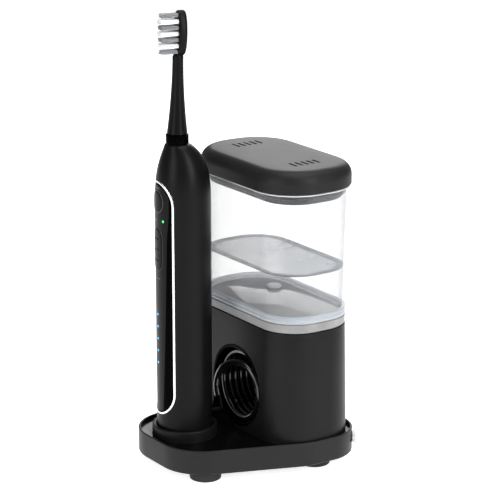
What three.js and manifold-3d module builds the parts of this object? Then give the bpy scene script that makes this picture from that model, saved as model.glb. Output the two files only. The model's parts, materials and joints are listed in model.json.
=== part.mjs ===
// Sonic toothbrush with a water flosser, standing in the charging cup of its station.
// The station has a base tray, a tower with the pump and the coiled hose, and a lift-off
// clear tank with a vented lid. Millimetres, +Z up, front of the station towards -Y.
// The origin is the centre of the station's footprint on the surface that it stands on.
import * as THREE from 'three';
import { mergeVertices } from 'three/addons/utils/BufferGeometryUtils.js';
import Module from 'manifold-3d';

const wasm = await Module();
wasm.setup();

// ---------- clearances ----------
const gap = 0.3;                    // between pieces that touch
const slip = 0.5;                   // round a piece that lifts in and out
const cutOver = 1;                  // how far a cutter runs past the face that it cuts

// ---------- base tray ----------
const trayFrontRoom = 0.45;         // between the cup's flange and the front wall
const trayRearRoom = 2.45;          // between the tower's back and the rim
const traySideRoom = 0.6;           // between the tower's sides and the rim
const noseWidth = 81;               // across the cup end
const noseShiftX = -5;              // middle of the cup end
const noseRadius = 29.6;
const footHeight = 5.7;
const footRadius = 10;
const footGrip = 1.2;               // rounding of a foot's lower edge
const footFrontIn = 14.5;           // middles of the feet, in from the tray's sides and ends
const footFrontBack = 21.25;
const footRearIn = 17.3;
const footRearBack = 29.65;
const trayWall = 2.4;
const trayBottomZ = footHeight + gap;
const trayHeight = 15.8;
const trayLip = 2.5;                // rim above the tray's floor
const trayLipWall = 1.5;
const trayFloorThick = 2.2;
const trayRimZ = trayBottomZ + trayHeight;
const trayFloorZ = trayRimZ - trayLip;
const trayFloorUnderZ = trayFloorZ - trayFloorThick;
const coverThick = 2;
const bossWall = 2.3;
const screwShank = 1.1;
const screwPilot = screwShank + 0.2;
const screwHole = screwShank + 0.7;
const screwHead = 2.9;
const screwHeadThick = 1.2;
const screwSlot = 0.4;              // half width and depth of the driver's slot
const screwTip = 1.4;               // screw's end below the tray's floor
const chargerHalf = 22;
const chargerFront = 8;
const chargerBack = 44;
const chargerRise = 5;              // board's underside above the tray's bottom
const chargerThick = 1.6;
const wireSlotHalf = 8;
const wireSlotFront = 40;
const wireSlotDepth = 6;

// ---------- tower ----------
const towerY = 27;                  // tower axis, which is the tank's and the lid's too
const towerHalfX = 52.3;            // at the top
const towerHalfY = 29;
const towerRadius = 24;
const towerTopZ = 92.4;
const towerDraftX = 0.9;            // how much each side leans out to the bottom
const towerDraftY = 1.3;
const towerWall = 2.4;
const deckThick = 2.6;
const deckRise = 5;                 // island that locates the tank
const deckInset = 5;                // island's step in from the tower's outline
const deckWall = 2;
const wellX = -20;                  // valve well in the deck
const wellY = 40;
const wellRadius = 6.5;
const wellDepth = 7.5;
const wellWall = 1.6;
const wellRimDrop = 1;              // well's rim below the island's top
const sealClear = 0.8;              // between the valve's foot and the seal
const sealTall = 1.9;
const tubeOuter = 2.4;              // inner water tubes
const fittingOuter = 2.6;

// ---------- hose and its pocket ----------
const hoseRadius = 2.1;
const coilRadius = 21.5;            // middle of the turns
const pocketClear = 0.9;            // round the turns
const pocketRadius = coilRadius + hoseRadius + pocketClear;
const barbLength = 5;               // of the outlet, behind the pocket
const pocketWall = 2;
const pocketZ = 47.5;
const coilFrontY = 2.6;
const outletY = 27.7;               // plane of the last turn, where the outlet is
const outletAngle = -120;           // degrees round the coil from +X
const hoseSides = 8;
// The free stretch of hose, from the coil's front turn to the handle.
const tailPoints = [
  [21.5, 0.2, 47.5], [20.6, 0, 53], [17.9, -0.7, 57.8], [13.9, -1.7, 61.6],
  [8.8, -2.9, 63.8], [3.2, -4.2, 64.2], [-2.1, -5.7, 62.8], [-6.8, -7, 59.8],
  [-10.1, -8.2, 55.4], [-11.9, -9.2, 50.1], [-11.8, -9.9, 44.6], [-10, -10.1, 39.4],
].map((p) => new THREE.Vector3(...p));

// ---------- tank and lid ----------
const tankHeight = 88.6;
const tankFlareX = 2;               // how much each side leans out to the top
const tankFlareY = 3;
const tankWall = 2.2;
const tankSkirt = 6;                // skirt under the tank's floor
const tankFloor = 2.2;
const valveStem = 2.4;
const valveHole = valveStem + 2 * gap;
const valveHead = 5;
const valveHeadThick = 1.6;
const valveHeadEdge = 1;            // height of the head's side, under its taper
const valveHeadTaper = 1.2;
const valveFoot = 4.4;
const valveFootThick = 1.2;
const springRoom = 5.6;             // between the tank's floor and the valve's foot
const springInset = 0.2;
const lidOverX = 1.3;               // how far the lid stands out past the tank
const lidOverY = 1.5;
const lidOverCorner = 3;
const lidHeight = 14;
const lidRound = 8;
const lidCrown = 2;                 // straight stretch in the middle of the crown's block
const webLow = 1.4;                 // plate that joins the lid's plug to its rim
const webHigh = 3;
const lidWall = 2;
const lidPlug = 7.4;                // how deep the lid's skirt goes into the tank
const plugDraft = 0.6;              // room for the tank's lean at the plug's lower edge
const gasketThick = 1.2;
const gasketHeight = 3;
const gasketRise = 2;               // above the plug's lower edge
const ventX = 31.5;
const ventCount = 5;
const ventPitch = 4.3;
const ventLength = 8.5;
const ventWidth = 1.7;

// ---------- handle ----------
const handleX = -10.2;
const handleY = -35.3;
const handleTurn = -10;             // degrees that the handle stands turned in its cup
const handleRadius = 17.5;
const handleWall = 2.7;
const cupDepth = 6.6;
const cupWall = 2.6;
const cupFloorThick = 2.5;
const cupFloorZ = trayFloorZ + 0.6;
const handleZ = cupFloorZ + gap;
const handleLength = 188.2;
const shoulderHeight = 46;          // how far below the top the shoulder starts
const shoulderCurve = 3.85;         // the higher, the fuller the shoulder
const shiftCurve = 7.5;             // the higher, the later the shoulder moves forward
const bottomChamfer = 1.4;
const neckShift = 3.4;              // how far the brush stands forward of the handle's axis
const shoulderTopRadius = 7.6;
const handleTopZ = handleZ + handleLength;
const postRadius = 4;
const postHeight = 6;
const postWall = 1.2;
const postClear = 0.8;
const postHeadroom = 0.6;
const postChamfer = 0.8;
const cupChamfer = 0.6;
const cupSkirt = 2;
const cupFlangeWidth = 2.2;
const capSkin = 1.4;
const capSleeve = 1.2;
const capPlug = 4;                  // thickness of the handle's bottom cap
const panelHalfAngle = 49;          // degrees each side of the front
const panelBottom = 14.7;           // from the handle's bottom
const panelTop = handleLength - 22; // the panel and what is on it hang from the handle's top
const panelThick = 1.5;
const trimWidth = 1.35;
const trimProud = 0.25;
const buttonProud = 0.45;
const buttonInner = handleRadius - 3.3;
const cutInner = handleRadius - 7.5;
const cutOuter = handleRadius + 12.5;
const powerButtonRadius = 6.6;
const powerButtonUp = handleLength - 35.4;
const modeButtonHalfWidth = 5.8;
const modeButtonLength = 27;
const modeButtonUp = handleLength - 65.8;
const lensRadius = 0.8;
const lensSink = 1.6;               // how far a lens reaches behind the panel's seat
const statusUp = handleLength - 46.8;
const statusAngle = 23;
const levelUp = 48.7;
const levelPitch = 7.9;
const levelCount = 5;
const batteryRadius = 7;
const batteryLength = 50;
const batteryUp = 14;
const motorRadius = 8;
const motorLength = 52;
const motorUp = handleLength - 20.2; // motor's top, from the handle's bottom
const terminalRadius = 2;
const terminalTall = 1;
const shaftRadius = 1.5;
const shaftClear = 0.4;
const shaftReach = 14;              // into the brush's neck
const shaftHoleRadius = 3.4;
const shaftHoleDepth = 20;
const sealDepth = 3;
const sealGrip = 0.1;
const receiverRadius = 9.4;
const receiverTall = 3.1;
const boardBottom = 18;
const boardBeyond = 5;              // past the power button
const boardHalfWidth = 5.9;
const boardThick = 1;
const boardFront = handleRadius - 4.4;
const socketReach = 8;              // from the hose end to the middle of the elbow
const socketRadius = 3.6;

// ---------- brush ----------
const collarRadius = shoulderTopRadius - 0.5;
const collarHeight = 5.6;
const grooveHalf = 0.3;
const grooveFlat = 0.1;
const grooveDepth = 0.4;
const neckBottomRadius = collarRadius - 0.7;
const neckTopRadius = 3.4;
const neckCurve = 1.9;
const neckRound = 2.5;
const neckTip = 0.9;
const neckLength = 50;
const neckLean = 1;                 // how far the neck's top stands back
const headHalfWidth = 5.6;
const headHalfHeight = 14;
const headThick = 5.6;
const headFront = 1.1;              // head's front face before the neck's axis
const headRound = 1.4;
const plateInset = 0.8;             // bristle plate's step in from the head's outline
const headSink = 2;                 // how far the head's lower end overlaps the neck
const tuftRadius = 1.3;
const tuftLength = 11.8;
const tuftSink = 0.4;
const plateThick = 0.8;
const tuftPitch = 3.7;
const tuftRows = 7;
const tuftSpacing = 2.7;
const tuftRoot = 0.5;               // radius of a tuft where it is clamped in the head

// ---------- pump ----------
const gearTeeth = 30;
const pinionTeeth = 10;
const toothModule = 0.8;
const gearBacklash = 0.12;
const addendum = 0.85;              // a tooth's height over and under the pitch circle, in modules
const dedendum = 1.15;
const gearThick = 4;
const gearRise = 3.5;               // gears above the pocket's roof
const gearY = 26;
const pumpMotorRadius = 10;
const pumpMotorLength = 42;
const motorRoom = 2.78;             // between the motor and the tower's wall
const motorCollar = 1.4;
const motorCollarRadius = 3.2;
const motorShaft = 1;
const motorDrop = 4;                // motor's top below the gears
const bracketHalf = 5;
const seatHalf = 2;                 // room left on the pocket's crown between bracket and pump
const pumpRadius = 5.2;
const pistonRadius = 3.3;
const lugInset = 4;                 // pump's foot, in from its closed end
const inletBore = 1.6;
const pumpLength = 26;
const pumpRise = 2.9;               // pump's axis above the gear's top face
const pumpEndX = -34;
const pumpInletX = 5;               // from the pump's closed end
const pumpEndWall = 2.4;
const pistonBack = 9;               // piston's crown, from the pump's closed end
const pistonThick = 7;
const stemRadius = 1.5;
const pistonClear = 0.3;            // between piston and bore
const gearAxle = 2;
const axleClear = 0.1;
const camRadius = 7;
const camOffset = 2.5;              // half of the piston's stroke
const camThick = 5;

// ---------- sizes that follow from those above ----------
const towerSideX = towerHalfX + towerDraftX;
const towerBackY = towerY + towerHalfY + towerDraftY;
const cupInner = handleRadius + slip;
const cupOuter = cupInner + cupWall;
const cupFlange = cupOuter + gap + cupFlangeWidth;
const trayDepth = 2 * Math.max(
  cupFlange - handleY + trayFrontRoom + trayWall, towerBackY + trayRearRoom + trayLipWall,
);
const trayWidth = 2 * (towerSideX + traySideRoom + trayLipWall);
const tailRadius = towerRadius + trayLipWall;
const lidHalfX = towerHalfX + tankFlareX + lidOverX;
const lidHalfY = towerHalfY + tankFlareY + lidOverY;
const lidRadius = towerRadius + tankFlareY + lidOverCorner;
const pocketRoofZ = pocketZ + pocketRadius + pocketWall;
const gearZ = pocketRoofZ + gearRise;
const pumpZ = gearZ + gearThick + pumpRise;
const gearDistance = ((gearTeeth + pinionTeeth) * toothModule) / 2 + gearBacklash;
const motorX = towerHalfX - towerWall - pumpMotorRadius - motorRoom;
const gearX = motorX - gearDistance;

// ---------- helpers ----------
const mergeReach = 1e-4;            // points nearer than this are one
const sliver = 0.01;                // shortest straight side of a rounded outline

const materials = {};
function finish(name, color, roughness, metalness = 0, opacity = 1) {
  materials[name] = new THREE.MeshStandardMaterial({
    color, roughness, metalness, opacity, transparent: opacity < 1,
  });
}
finish('satinBlack', 0x1d1d1e, 0.45);
finish('glossBlack', 0x060607, 0.12);
finish('greyRubber', 0x4b4c4e, 0.8);
finish('silver', 0xd8dadc, 0.25, 0.9);
finish('steel', 0x9a9ca0, 0.35, 1);
finish('copper', 0xb46a3c, 0.4, 1);
finish('ferrite', 0x35332f, 0.7);
finish('board', 0x1c5a38, 0.5);
finish('clear', 0xe9eff2, 0.08, 0, 0.35);
finish('greyPlastic', 0x8b8e91, 0.5);
finish('whiteNylon', 0xe8e8e6, 0.6);
finish('bristle', 0xe4e5e6, 0.7);
finish('blueLens', 0x2fa8e8, 0.2);
finish('greenLens', 0x2fd45a, 0.2);
finish('darkLens', 0x2a2c2e, 0.2);
finish('hose', 0x08080a, 0.18);

// A closed geometry as a solid whose faces point outwards.
function solid(geometry) {
  geometry.deleteAttribute('normal');
  geometry.deleteAttribute('uv');
  const merged = mergeVertices(geometry, mergeReach);
  const make = (index) => new wasm.Manifold(new wasm.Mesh({
    numProp: 3, vertProperties: new Float32Array(merged.attributes.position.array), triVerts: index,
  }));
  const index = new Uint32Array(merged.index.array);
  const body = make(index);
  return body.volume() > 0 ? body : make(index.map((v, i) => index[i - (i % 3) + 2 - (i % 3)]));
}

function geometryOf(body) {
  const mesh = body.getMesh();
  const geometry = new THREE.BufferGeometry();
  geometry.setAttribute('position', new THREE.BufferAttribute(mesh.vertProperties, 3));
  geometry.setIndex(new THREE.BufferAttribute(mesh.triVerts, 1));
  const flat = geometry.toNonIndexed();
  flat.computeVertexNormals();
  return flat;
}

function group(parent) {
  const made = new THREE.Group();
  if (parent) parent.add(made);
  return made;
}

function add(parent, name, body, material) {
  const mesh = new THREE.Mesh(geometryOf(body), materials[material]);
  mesh.name = name;
  parent.add(mesh);
  return body;
}

const rad = THREE.MathUtils.degToRad;
const all = (bodies) => bodies.reduce((a, b) => a.add(b));

function roundedRect(halfX, halfY, radius, steps = 5) {
  const r = Math.min(radius, halfX - sliver, halfY - sliver);
  const points = [];
  [[1, 1, 0], [-1, 1, 90], [-1, -1, 180], [1, -1, 270]].forEach(([sx, sy, start]) => {
    for (let i = 0; i <= steps; i += 1) {
      const a = rad(start + (90 * i) / steps);
      points.push(new THREE.Vector2(
        sx * (halfX - r) + r * Math.cos(a), sy * (halfY - r) + r * Math.sin(a),
      ));
    }
  });
  return new THREE.Shape(points);
}

function circle(radius) {
  const shape = new THREE.Shape();
  shape.absarc(0, 0, radius, 0, 2 * Math.PI);
  return shape;
}

function ellipse(halfX, halfY) {
  const shape = new THREE.Shape();
  shape.absellipse(0, 0, halfX, halfY, 0, 2 * Math.PI);
  return shape;
}

function prism(shape, z0, z1, segments = 12) {
  const geometry = new THREE.ExtrudeGeometry(shape, {
    depth: z1 - z0, bevelEnabled: false, curveSegments: segments,
  });
  return solid(geometry.translate(0, 0, z0));
}

const roundedBlock = (halfX, halfY, radius, z0, z1) => prism(roundedRect(halfX, halfY, radius), z0, z1);

// A prism whose half sizes grow by (growX, growY) from z0 to z1.
function leaningPrism(halfX, halfY, radius, growX, growY, z0, z1) {
  const geometry = new THREE.ExtrudeGeometry(roundedRect(halfX, halfY, radius), {
    depth: z1 - z0, bevelEnabled: false,
  });
  const place = geometry.attributes.position;
  for (let i = 0; i < place.count; i += 1) {
    const part = place.getZ(i) / (z1 - z0);
    place.setX(i, place.getX(i) * (1 + (growX * part) / halfX));
    place.setY(i, place.getY(i) * (1 + (growY * part) / halfY));
  }
  return solid(geometry.translate(0, 0, z0));
}

function tube(outer, inner, z0, z1, segments = 20) {
  return lathe([[inner, z0], [outer, z0], [outer, z1], [inner, z1], [inner, z0]], segments);
}

function rod(radius, z0, z1, segments = 20) {
  return lathe([[0, z0], [radius, z0], [radius, z1], [0, z1]], segments);
}

// Turns a profile of [radius, height] points about Z.
function lathe(profile, segments = 32) {
  const points = profile.map(([r, z]) => new THREE.Vector2(r, z));
  return solid(new THREE.LatheGeometry(points, segments).rotateX(Math.PI / 2));
}

function box(x0, x1, y0, y1, z0, z1) {
  const geometry = new THREE.BoxGeometry(x1 - x0, y1 - y0, z1 - z0);
  return solid(geometry.translate((x0 + x1) / 2, (y0 + y1) / 2, (z0 + z1) / 2));
}

// Lays a body that was made along Z along another axis instead.
const alongX = (body) => body.rotate([0, 90, 0]);
const alongY = (body) => body.rotate([-90, 0, 0]);      // its z becomes y

// Stands a body that was made along Z at a point, pointing in a direction.
function aim(body, point, direction) {
  const turn = new THREE.Quaternion().setFromUnitVectors(
    new THREE.Vector3(0, 0, 1), direction.clone().normalize(),
  );
  const m = new THREE.Matrix4().makeRotationFromQuaternion(turn).setPosition(point);
  return body.transform(m.elements);
}

// A solid tube along a smooth curve.
function pipe(curve, radius, steps, sides = hoseSides) {
  const shape = new THREE.Shape();
  for (let i = 0; i < sides; i += 1) {
    const a = (2 * Math.PI * i) / sides;
    const x = radius * Math.cos(a);
    const y = radius * Math.sin(a);
    if (i === 0) shape.moveTo(x, y);
    else shape.lineTo(x, y);
  }
  return solid(new THREE.ExtrudeGeometry(shape, { extrudePath: curve, steps }));
}

const smooth = (points) => new THREE.CatmullRomCurve3(points, false, 'centripetal');

// ---------- the tray's outline: arcs round the tower's corners and the narrower cup end ----------
function trayShape(inset) {
  const noseY = -trayDepth / 2 + noseRadius;
  const tailY = trayDepth / 2 - tailRadius;
  const shoulderY = towerY - towerHalfY - towerDraftY + towerRadius;
  const corners = [
    [noseShiftX + noseWidth / 2 - noseRadius, noseY, noseRadius],
    [trayWidth / 2 - tailRadius, shoulderY, tailRadius],
    [trayWidth / 2 - tailRadius, tailY, tailRadius],
    [-trayWidth / 2 + tailRadius, tailY, tailRadius],
    [-trayWidth / 2 + tailRadius, shoulderY, tailRadius],
    [noseShiftX - noseWidth / 2 + noseRadius, noseY, noseRadius],
  ];
  // The outward direction of the straight side between two corner arcs.
  const side = ([x0, y0, r0], [x1, y1, r1]) => {
    const run = Math.hypot(x1 - x0, y1 - y0);
    return Math.atan2(y1 - y0, x1 - x0) - Math.acos((r0 - r1) / run);
  };
  const sides = corners.map((c, i) => side(c, corners[(i + 1) % corners.length]));
  const shape = new THREE.Shape();
  corners.forEach(([x, y, r], i) => {
    let start = sides[(i + corners.length - 1) % corners.length];
    while (start > sides[i]) start -= 2 * Math.PI;
    shape.absarc(x, y, r - inset, start, sides[i]);
  });
  return shape;
}
const tray = (inset, z0, z1) => prism(trayShape(inset), z0, z1, 5);

// ---------- base tray, cover, feet, screws ----------
const footFrontX = noseWidth / 2 - footFrontIn;
const footFrontY = footFrontBack - trayDepth / 2;
const footRearX = trayWidth / 2 - footRearIn;
const footRearY = trayDepth / 2 - footRearBack;
const screwSpots = [[-33, -8], [28, -8], [-30, 48], [30, 48]];
const footSpots = [
  ['front_left', noseShiftX - footFrontX, footFrontY], ['front_right', noseShiftX + footFrontX, footFrontY],
  ['rear_left', -footRearX, footRearY], ['rear_right', footRearX, footRearY],
];
const inletAngle = 54;              // direction from the rear corner's centre, from +X
const inletWidth = 9;
const inletTall = 7;
const inletProud = 2.5;
const inletRise = 8.5;
const inletZ = trayBottomZ + inletRise;
const inletStep = 0.9;              // barrel's step in from the face
const inletDepth = 6;               // barrel's reach inside the wall
const inletCorner = 2;
const inletSocket = 1.4;
const socketDepth = 4;              // socket's reach inside the wall

function atInlet(body) {
  const x = trayWidth / 2 - tailRadius;
  const y = trayDepth / 2 - tailRadius;
  return body.rotate([0, 0, inletAngle]).translate([x, y, inletZ]);
}

function baseTray() {
  let body = tray(0, trayBottomZ, trayRimZ);
  body = body.subtract(tray(trayWall, trayBottomZ - cutOver, trayFloorUnderZ));
  body = body.subtract(tray(trayLipWall, trayFloorZ, trayRimZ + cutOver));
  const bossBottom = trayBottomZ + coverThick + gap;
  screwSpots.forEach(([x, y]) => {
    const boss = rod(screwPilot + bossWall, bossBottom, trayFloorUnderZ + trayFloorThick / 2);
    body = body.add(boss.translate([x, y, 0]));
    const pilot = rod(screwPilot, bossBottom - cutOver, trayFloorUnderZ - gap);
    body = body.subtract(pilot.translate([x, y, 0]));
  });
  const cupHole = handleRadius + slip + cupWall + gap;
  body = body.subtract(atHandle(rod(cupHole, trayFloorUnderZ - cutOver, trayRimZ, 32)));
  const wireSlot = box(-wireSlotHalf, wireSlotHalf, wireSlotFront, wireSlotFront + wireSlotDepth,
    trayFloorUnderZ - cutOver, trayRimZ);
  const neck = inletBarrel(gap);
  return body.subtract(wireSlot).subtract(neck);
}

// The part of the power inlet that passes through the tray's wall, grown by a clearance.
function inletBarrel(extra) {
  const half = inletTall / 2 - inletStep + extra;
  const reach = box(tailRadius - trayWall - inletDepth, tailRadius + cutOver, -half, half, -half, half);
  return atInlet(reach);
}

function powerInlet() {
  const outline = roundedRect(inletTall / 2, inletWidth / 2, inletCorner, 4);
  const face = alongX(prism(outline, 0, inletProud - gap))
    .translate([tailRadius + gap, 0, 0]);
  const socket = alongX(rod(
    inletSocket, tailRadius - trayWall - socketDepth, tailRadius + inletProud + cutOver, 16,
  ));
  return inletBarrel(0).add(atInlet(face)).subtract(atInlet(socket));
}

function bottomCover() {
  let body = tray(trayWall + gap, trayBottomZ, trayBottomZ + coverThick);
  screwSpots.forEach(([x, y]) => {
    const hole = lathe([
      [0, trayBottomZ - cutOver], [screwHead + gap, trayBottomZ - cutOver],
      [screwHead + gap, trayBottomZ + screwHeadThick], [screwHole, trayBottomZ + screwHeadThick],
      [screwHole, trayBottomZ + coverThick + cutOver], [0, trayBottomZ + coverThick + cutOver],
    ], 20);
    body = body.subtract(hole.translate([x, y, 0]));
  });
  return body;
}

function chargerBoard() {
  const z0 = trayBottomZ + chargerRise;
  return box(-chargerHalf, chargerHalf, chargerFront, chargerBack, z0, z0 + chargerThick);
}

function coverScrew() {
  const z = trayBottomZ + screwHeadThick - gap;
  const tip = trayFloorUnderZ - screwTip;
  const slot = box(-screwHead, screwHead, -screwSlot, screwSlot,
    trayBottomZ - cutOver, trayBottomZ + screwSlot);
  return lathe([
    [0, z - screwHeadThick + gap], [screwHead, z - screwHeadThick + gap], [screwHead, z],
    [screwShank, z], [screwShank, tip], [0, tip],
  ], 16).subtract(slot);
}

function foot() {
  return lathe([
    [0, 0], [footRadius - footGrip, 0], [footRadius, footGrip], [footRadius, footHeight],
    [0, footHeight],
  ], 24);
}

// ---------- charging cup ----------
const cupFlangeTop = trayFloorUnderZ - gap;
const cupUnder = cupFloorZ - cupFloorThick;
const cupRimZ = cupFloorZ + cupDepth;
const postTop = cupFloorZ + postHeight;
const coilBore = postRadius - postWall;
const coilTall = 3.2;
const coilInset = 4;                // primary coil's step in from the cup's wall
const coilCore = 2;                 // between the coil and its core

function chargingCup() {
  return lathe([
    [0, postTop], [postRadius - postChamfer, postTop], [postRadius, postTop - postChamfer],
    [postRadius, cupFloorZ], [cupInner, cupFloorZ], [cupInner, cupRimZ - cupChamfer],
    [cupInner + cupChamfer, cupRimZ], [cupOuter - cupChamfer, cupRimZ],
    [cupOuter, cupRimZ - cupChamfer], [cupOuter, cupFlangeTop],
    [cupFlange, cupFlangeTop], [cupFlange, cupUnder - cupSkirt], [cupInner, cupUnder - cupSkirt],
    [cupInner, cupUnder], [coilBore, cupUnder], [coilBore, postTop - postWall],
    [0, postTop - postWall],
  ]);
}

function atHandle(body) {
  return body.translate([handleX, handleY, 0]);
}

const ferriteCore = () => rod(coilBore - gap, cupUnder - coilTall, postTop - postWall - gap);
const primaryCoil = () => tube(
  cupInner - coilInset, coilBore + coilCore, cupUnder - coilTall, cupUnder - gap,
);

// ---------- tower ----------
const towerBaseZ = trayFloorZ + gap;
const towerFrontY = towerY - towerHalfY;

// The tower's outline between two heights, which leans out towards the bottom.
function towerBlock(inset, z0, z1) {
  const out = (z) => (towerTopZ - z) / (towerTopZ - towerBaseZ);
  const grow = out(z1) - out(z0);
  return leaningPrism(
    towerHalfX + towerDraftX * out(z0) - inset, towerHalfY + towerDraftY * out(z0) - inset,
    towerRadius - inset, towerDraftX * grow, towerDraftY * grow, z0, z1,
  ).translate([0, towerY, 0]);
}

function atPocket(body, y) {
  return alongY(body).translate([0, y, pocketZ]);
}

const pocketBackY = outletY + fittingOuter + gap;
const outletPoint = new THREE.Vector3(
  coilRadius * Math.cos(rad(outletAngle)), outletY, pocketZ + coilRadius * Math.sin(rad(outletAngle)),
);
const outletDirection = new THREE.Vector3(-Math.sin(rad(outletAngle)), 0, Math.cos(rad(outletAngle)));
const outletElbow = outletPoint.clone().addScaledVector(outletDirection, -fittingOuter);

function towerShell() {
  const front = towerFrontY - towerDraftY - cutOver;
  const depth = pocketBackY + pocketWall - front;
  const tub = atPocket(rod(pocketRadius + pocketWall, 0, depth, 36), front)
    .intersect(towerBlock(0, towerBaseZ, towerTopZ));
  const hollow = towerBlock(towerWall, towerBaseZ - cutOver, towerTopZ + cutOver);
  const tubeHole = alongY(rod(fittingOuter + gap, 0, pocketWall + 2 * cutOver))
    .translate([outletElbow.x, pocketBackY - cutOver, outletElbow.z]);
  return towerBlock(0, towerBaseZ, towerTopZ).subtract(hollow).add(tub)
    .subtract(atPocket(rod(pocketRadius, 0, pocketBackY - front, 36), front)).subtract(tubeHole);
}

const deckTopZ = towerTopZ - gap;
const islandTopZ = towerTopZ + deckRise;
const wellFloorZ = towerTopZ - wellDepth;

function towerDeck() {
  const level = (inset, z0, z1) => roundedBlock(
    towerHalfX - inset, towerHalfY - inset, towerRadius - inset, z0, z1,
  );
  const atWell = (body) => body.translate([wellX, wellY - towerY, 0]);
  const underZ = deckTopZ - deckThick;
  const plate = level(towerWall + gap, underZ, deckTopZ);
  const island = level(deckInset, underZ, islandTopZ);
  const hollow = level(deckInset + deckWall, underZ - cutOver, islandTopZ - deckWall);
  const well = rod(wellRadius + wellWall, wellFloorZ - wellWall, islandTopZ - wellRimDrop, 32);
  const bore = rod(wellRadius, wellFloorZ, islandTopZ + cutOver, 32);
  const drain = rod(tubeOuter + gap, wellFloorZ - wellWall - cutOver, wellFloorZ + cutOver);
  return plate.add(island).subtract(hollow).add(atWell(well)).subtract(atWell(bore))
    .subtract(atWell(drain)).translate([0, towerY, 0]);
}

// ---------- pump drive ----------
function gearSolid(teeth) {
  const pitch = (teeth * toothModule) / 2;
  const tip = pitch + addendum * toothModule;
  const root = pitch - dedendum * toothModule;
  const quarter = Math.PI / (2 * teeth);
  const points = [];
  for (let i = 0; i < teeth; i += 1) {
    const middle = (2 * Math.PI * i) / teeth;
    [[root, -1.5], [tip, -0.5], [tip, 0.5], [root, 1.5]]
      .forEach(([r, share]) => {
        const a = middle + share * quarter;
        points.push(new THREE.Vector2(r * Math.cos(a), r * Math.sin(a)));
      });
  }
  return prism(new THREE.Shape(points), 0, gearThick);
}

const motorTopZ = gearZ - motorDrop;

function pumpMotor() {
  return lathe([
    [0, motorTopZ - pumpMotorLength], [pumpMotorRadius, motorTopZ - pumpMotorLength],
    [pumpMotorRadius, motorTopZ], [motorCollarRadius, motorTopZ],
    [motorCollarRadius, motorTopZ + motorCollar], [0, motorTopZ + motorCollar],
  ], 32).translate([motorX, gearY, 0]);
}

// The pinion with its shaft; a tooth gap faces the gear.
function motorPinion() {
  const turn = pinionTeeth % 2 === 0 ? 180 / pinionTeeth : 0;
  const shaft = rod(motorShaft, motorTopZ + motorCollar + gap - gearZ, gearThick, 16);
  return gearSolid(pinionTeeth).add(shaft).rotate([0, 0, turn]).translate([motorX, gearY, gearZ]);
}

// The gear and the round cam on it, which stands off its axle and pushes the piston's stem.
function camGear() {
  const top = gearThick + camThick;
  const cam = rod(camRadius, gearThick / 2, top, 28).translate([0, camOffset, 0]);
  const bore = rod(gearAxle + axleClear, -cutOver, top + cutOver);
  return gearSolid(gearTeeth).add(cam).subtract(bore).translate([gearX, gearY, gearZ]);
}

// Bracket that rests on the pocket's crown and carries the gear's axle.
function gearFrame() {
  const plate = box(seatHalf, gearX + bracketHalf, gearY - bracketHalf, gearY + bracketHalf,
    pocketRoofZ + gap, gearZ - 2 * gap);
  const axle = rod(gearAxle, gearZ - cutOver, gearZ + gearThick + camThick + cutOver);
  return plate.add(axle.translate([gearX, gearY, 0]));
}

function pumpBody() {
  const barrel = alongX(rod(pumpRadius, 0, pumpLength, 32));
  const bore = alongX(rod(pistonRadius + pistonClear, pumpEndWall, pumpLength + cutOver, 32));
  const lug = box(lugInset, -seatHalf - pumpEndX, -lugInset, lugInset,
    pocketRoofZ + gap - pumpZ, -pumpRadius / 2);
  const inlet = alongY(rod(inletBore, 0, pumpRadius + cutOver)).translate([pumpInletX, 0, 0]);
  return barrel.add(lug).subtract(bore).subtract(inlet).translate([pumpEndX, gearY, pumpZ]);
}

// The stem ends just clear of the cam's furthest reach.
function pumpPiston() {
  const stemEnd = gearX - camRadius - camOffset - gap - pumpEndX;
  const crown = alongX(rod(pistonRadius, pistonBack, pistonBack + pistonThick, 24));
  const stem = alongX(rod(stemRadius, pistonBack + pistonThick / 2, stemEnd, 16));
  return crown.add(stem).translate([pumpEndX, gearY, pumpZ]);
}

const suctionPath = () => smooth([
  new THREE.Vector3(wellX, wellY, wellFloorZ + 0.6),
  new THREE.Vector3(wellX, wellY, wellFloorZ - 3),
  new THREE.Vector3(wellX - 2, wellY - 2, wellFloorZ - 7.5),
  new THREE.Vector3(pumpEndX + pumpInletX, gearY + pumpRadius + 5, pumpZ - 5),
  new THREE.Vector3(pumpEndX + pumpInletX, gearY + pumpRadius + 1.5, pumpZ),
]);

const deliveryPath = () => smooth([
  new THREE.Vector3(pumpEndX - 3 * gap, gearY, pumpZ),
  new THREE.Vector3(pumpEndX - 6, gearY + 1, pumpZ - 2),
  new THREE.Vector3(pumpEndX - 7, gearY + 8, pumpZ - 14),
  new THREE.Vector3(pumpEndX - 2, gearY + 18, pocketZ + 4),
  new THREE.Vector3(outletElbow.x - 8, pocketBackY + pocketWall + 11, outletElbow.z + 6),
  new THREE.Vector3(outletElbow.x, pocketBackY + pocketWall + 10, outletElbow.z),
  new THREE.Vector3(outletElbow.x, pocketBackY + pocketWall + barbLength + gap, outletElbow.z),
]);

// ---------- hose ----------
function hoseOutlet() {
  const mouth = outletPoint.clone().addScaledVector(outletDirection, -gap);
  const arm = aim(rod(fittingOuter, 0, fittingOuter - gap, 20), mouth, outletDirection.clone().negate());
  const knee = solid(new THREE.SphereGeometry(fittingOuter, 16, 8))
    .translate(outletElbow.toArray());
  const length = pocketBackY + pocketWall + barbLength - outletY;
  const barb = alongY(rod(fittingOuter, 0, length, 20)).translate(outletElbow.toArray());
  return arm.add(knee).add(barb);
}

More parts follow.
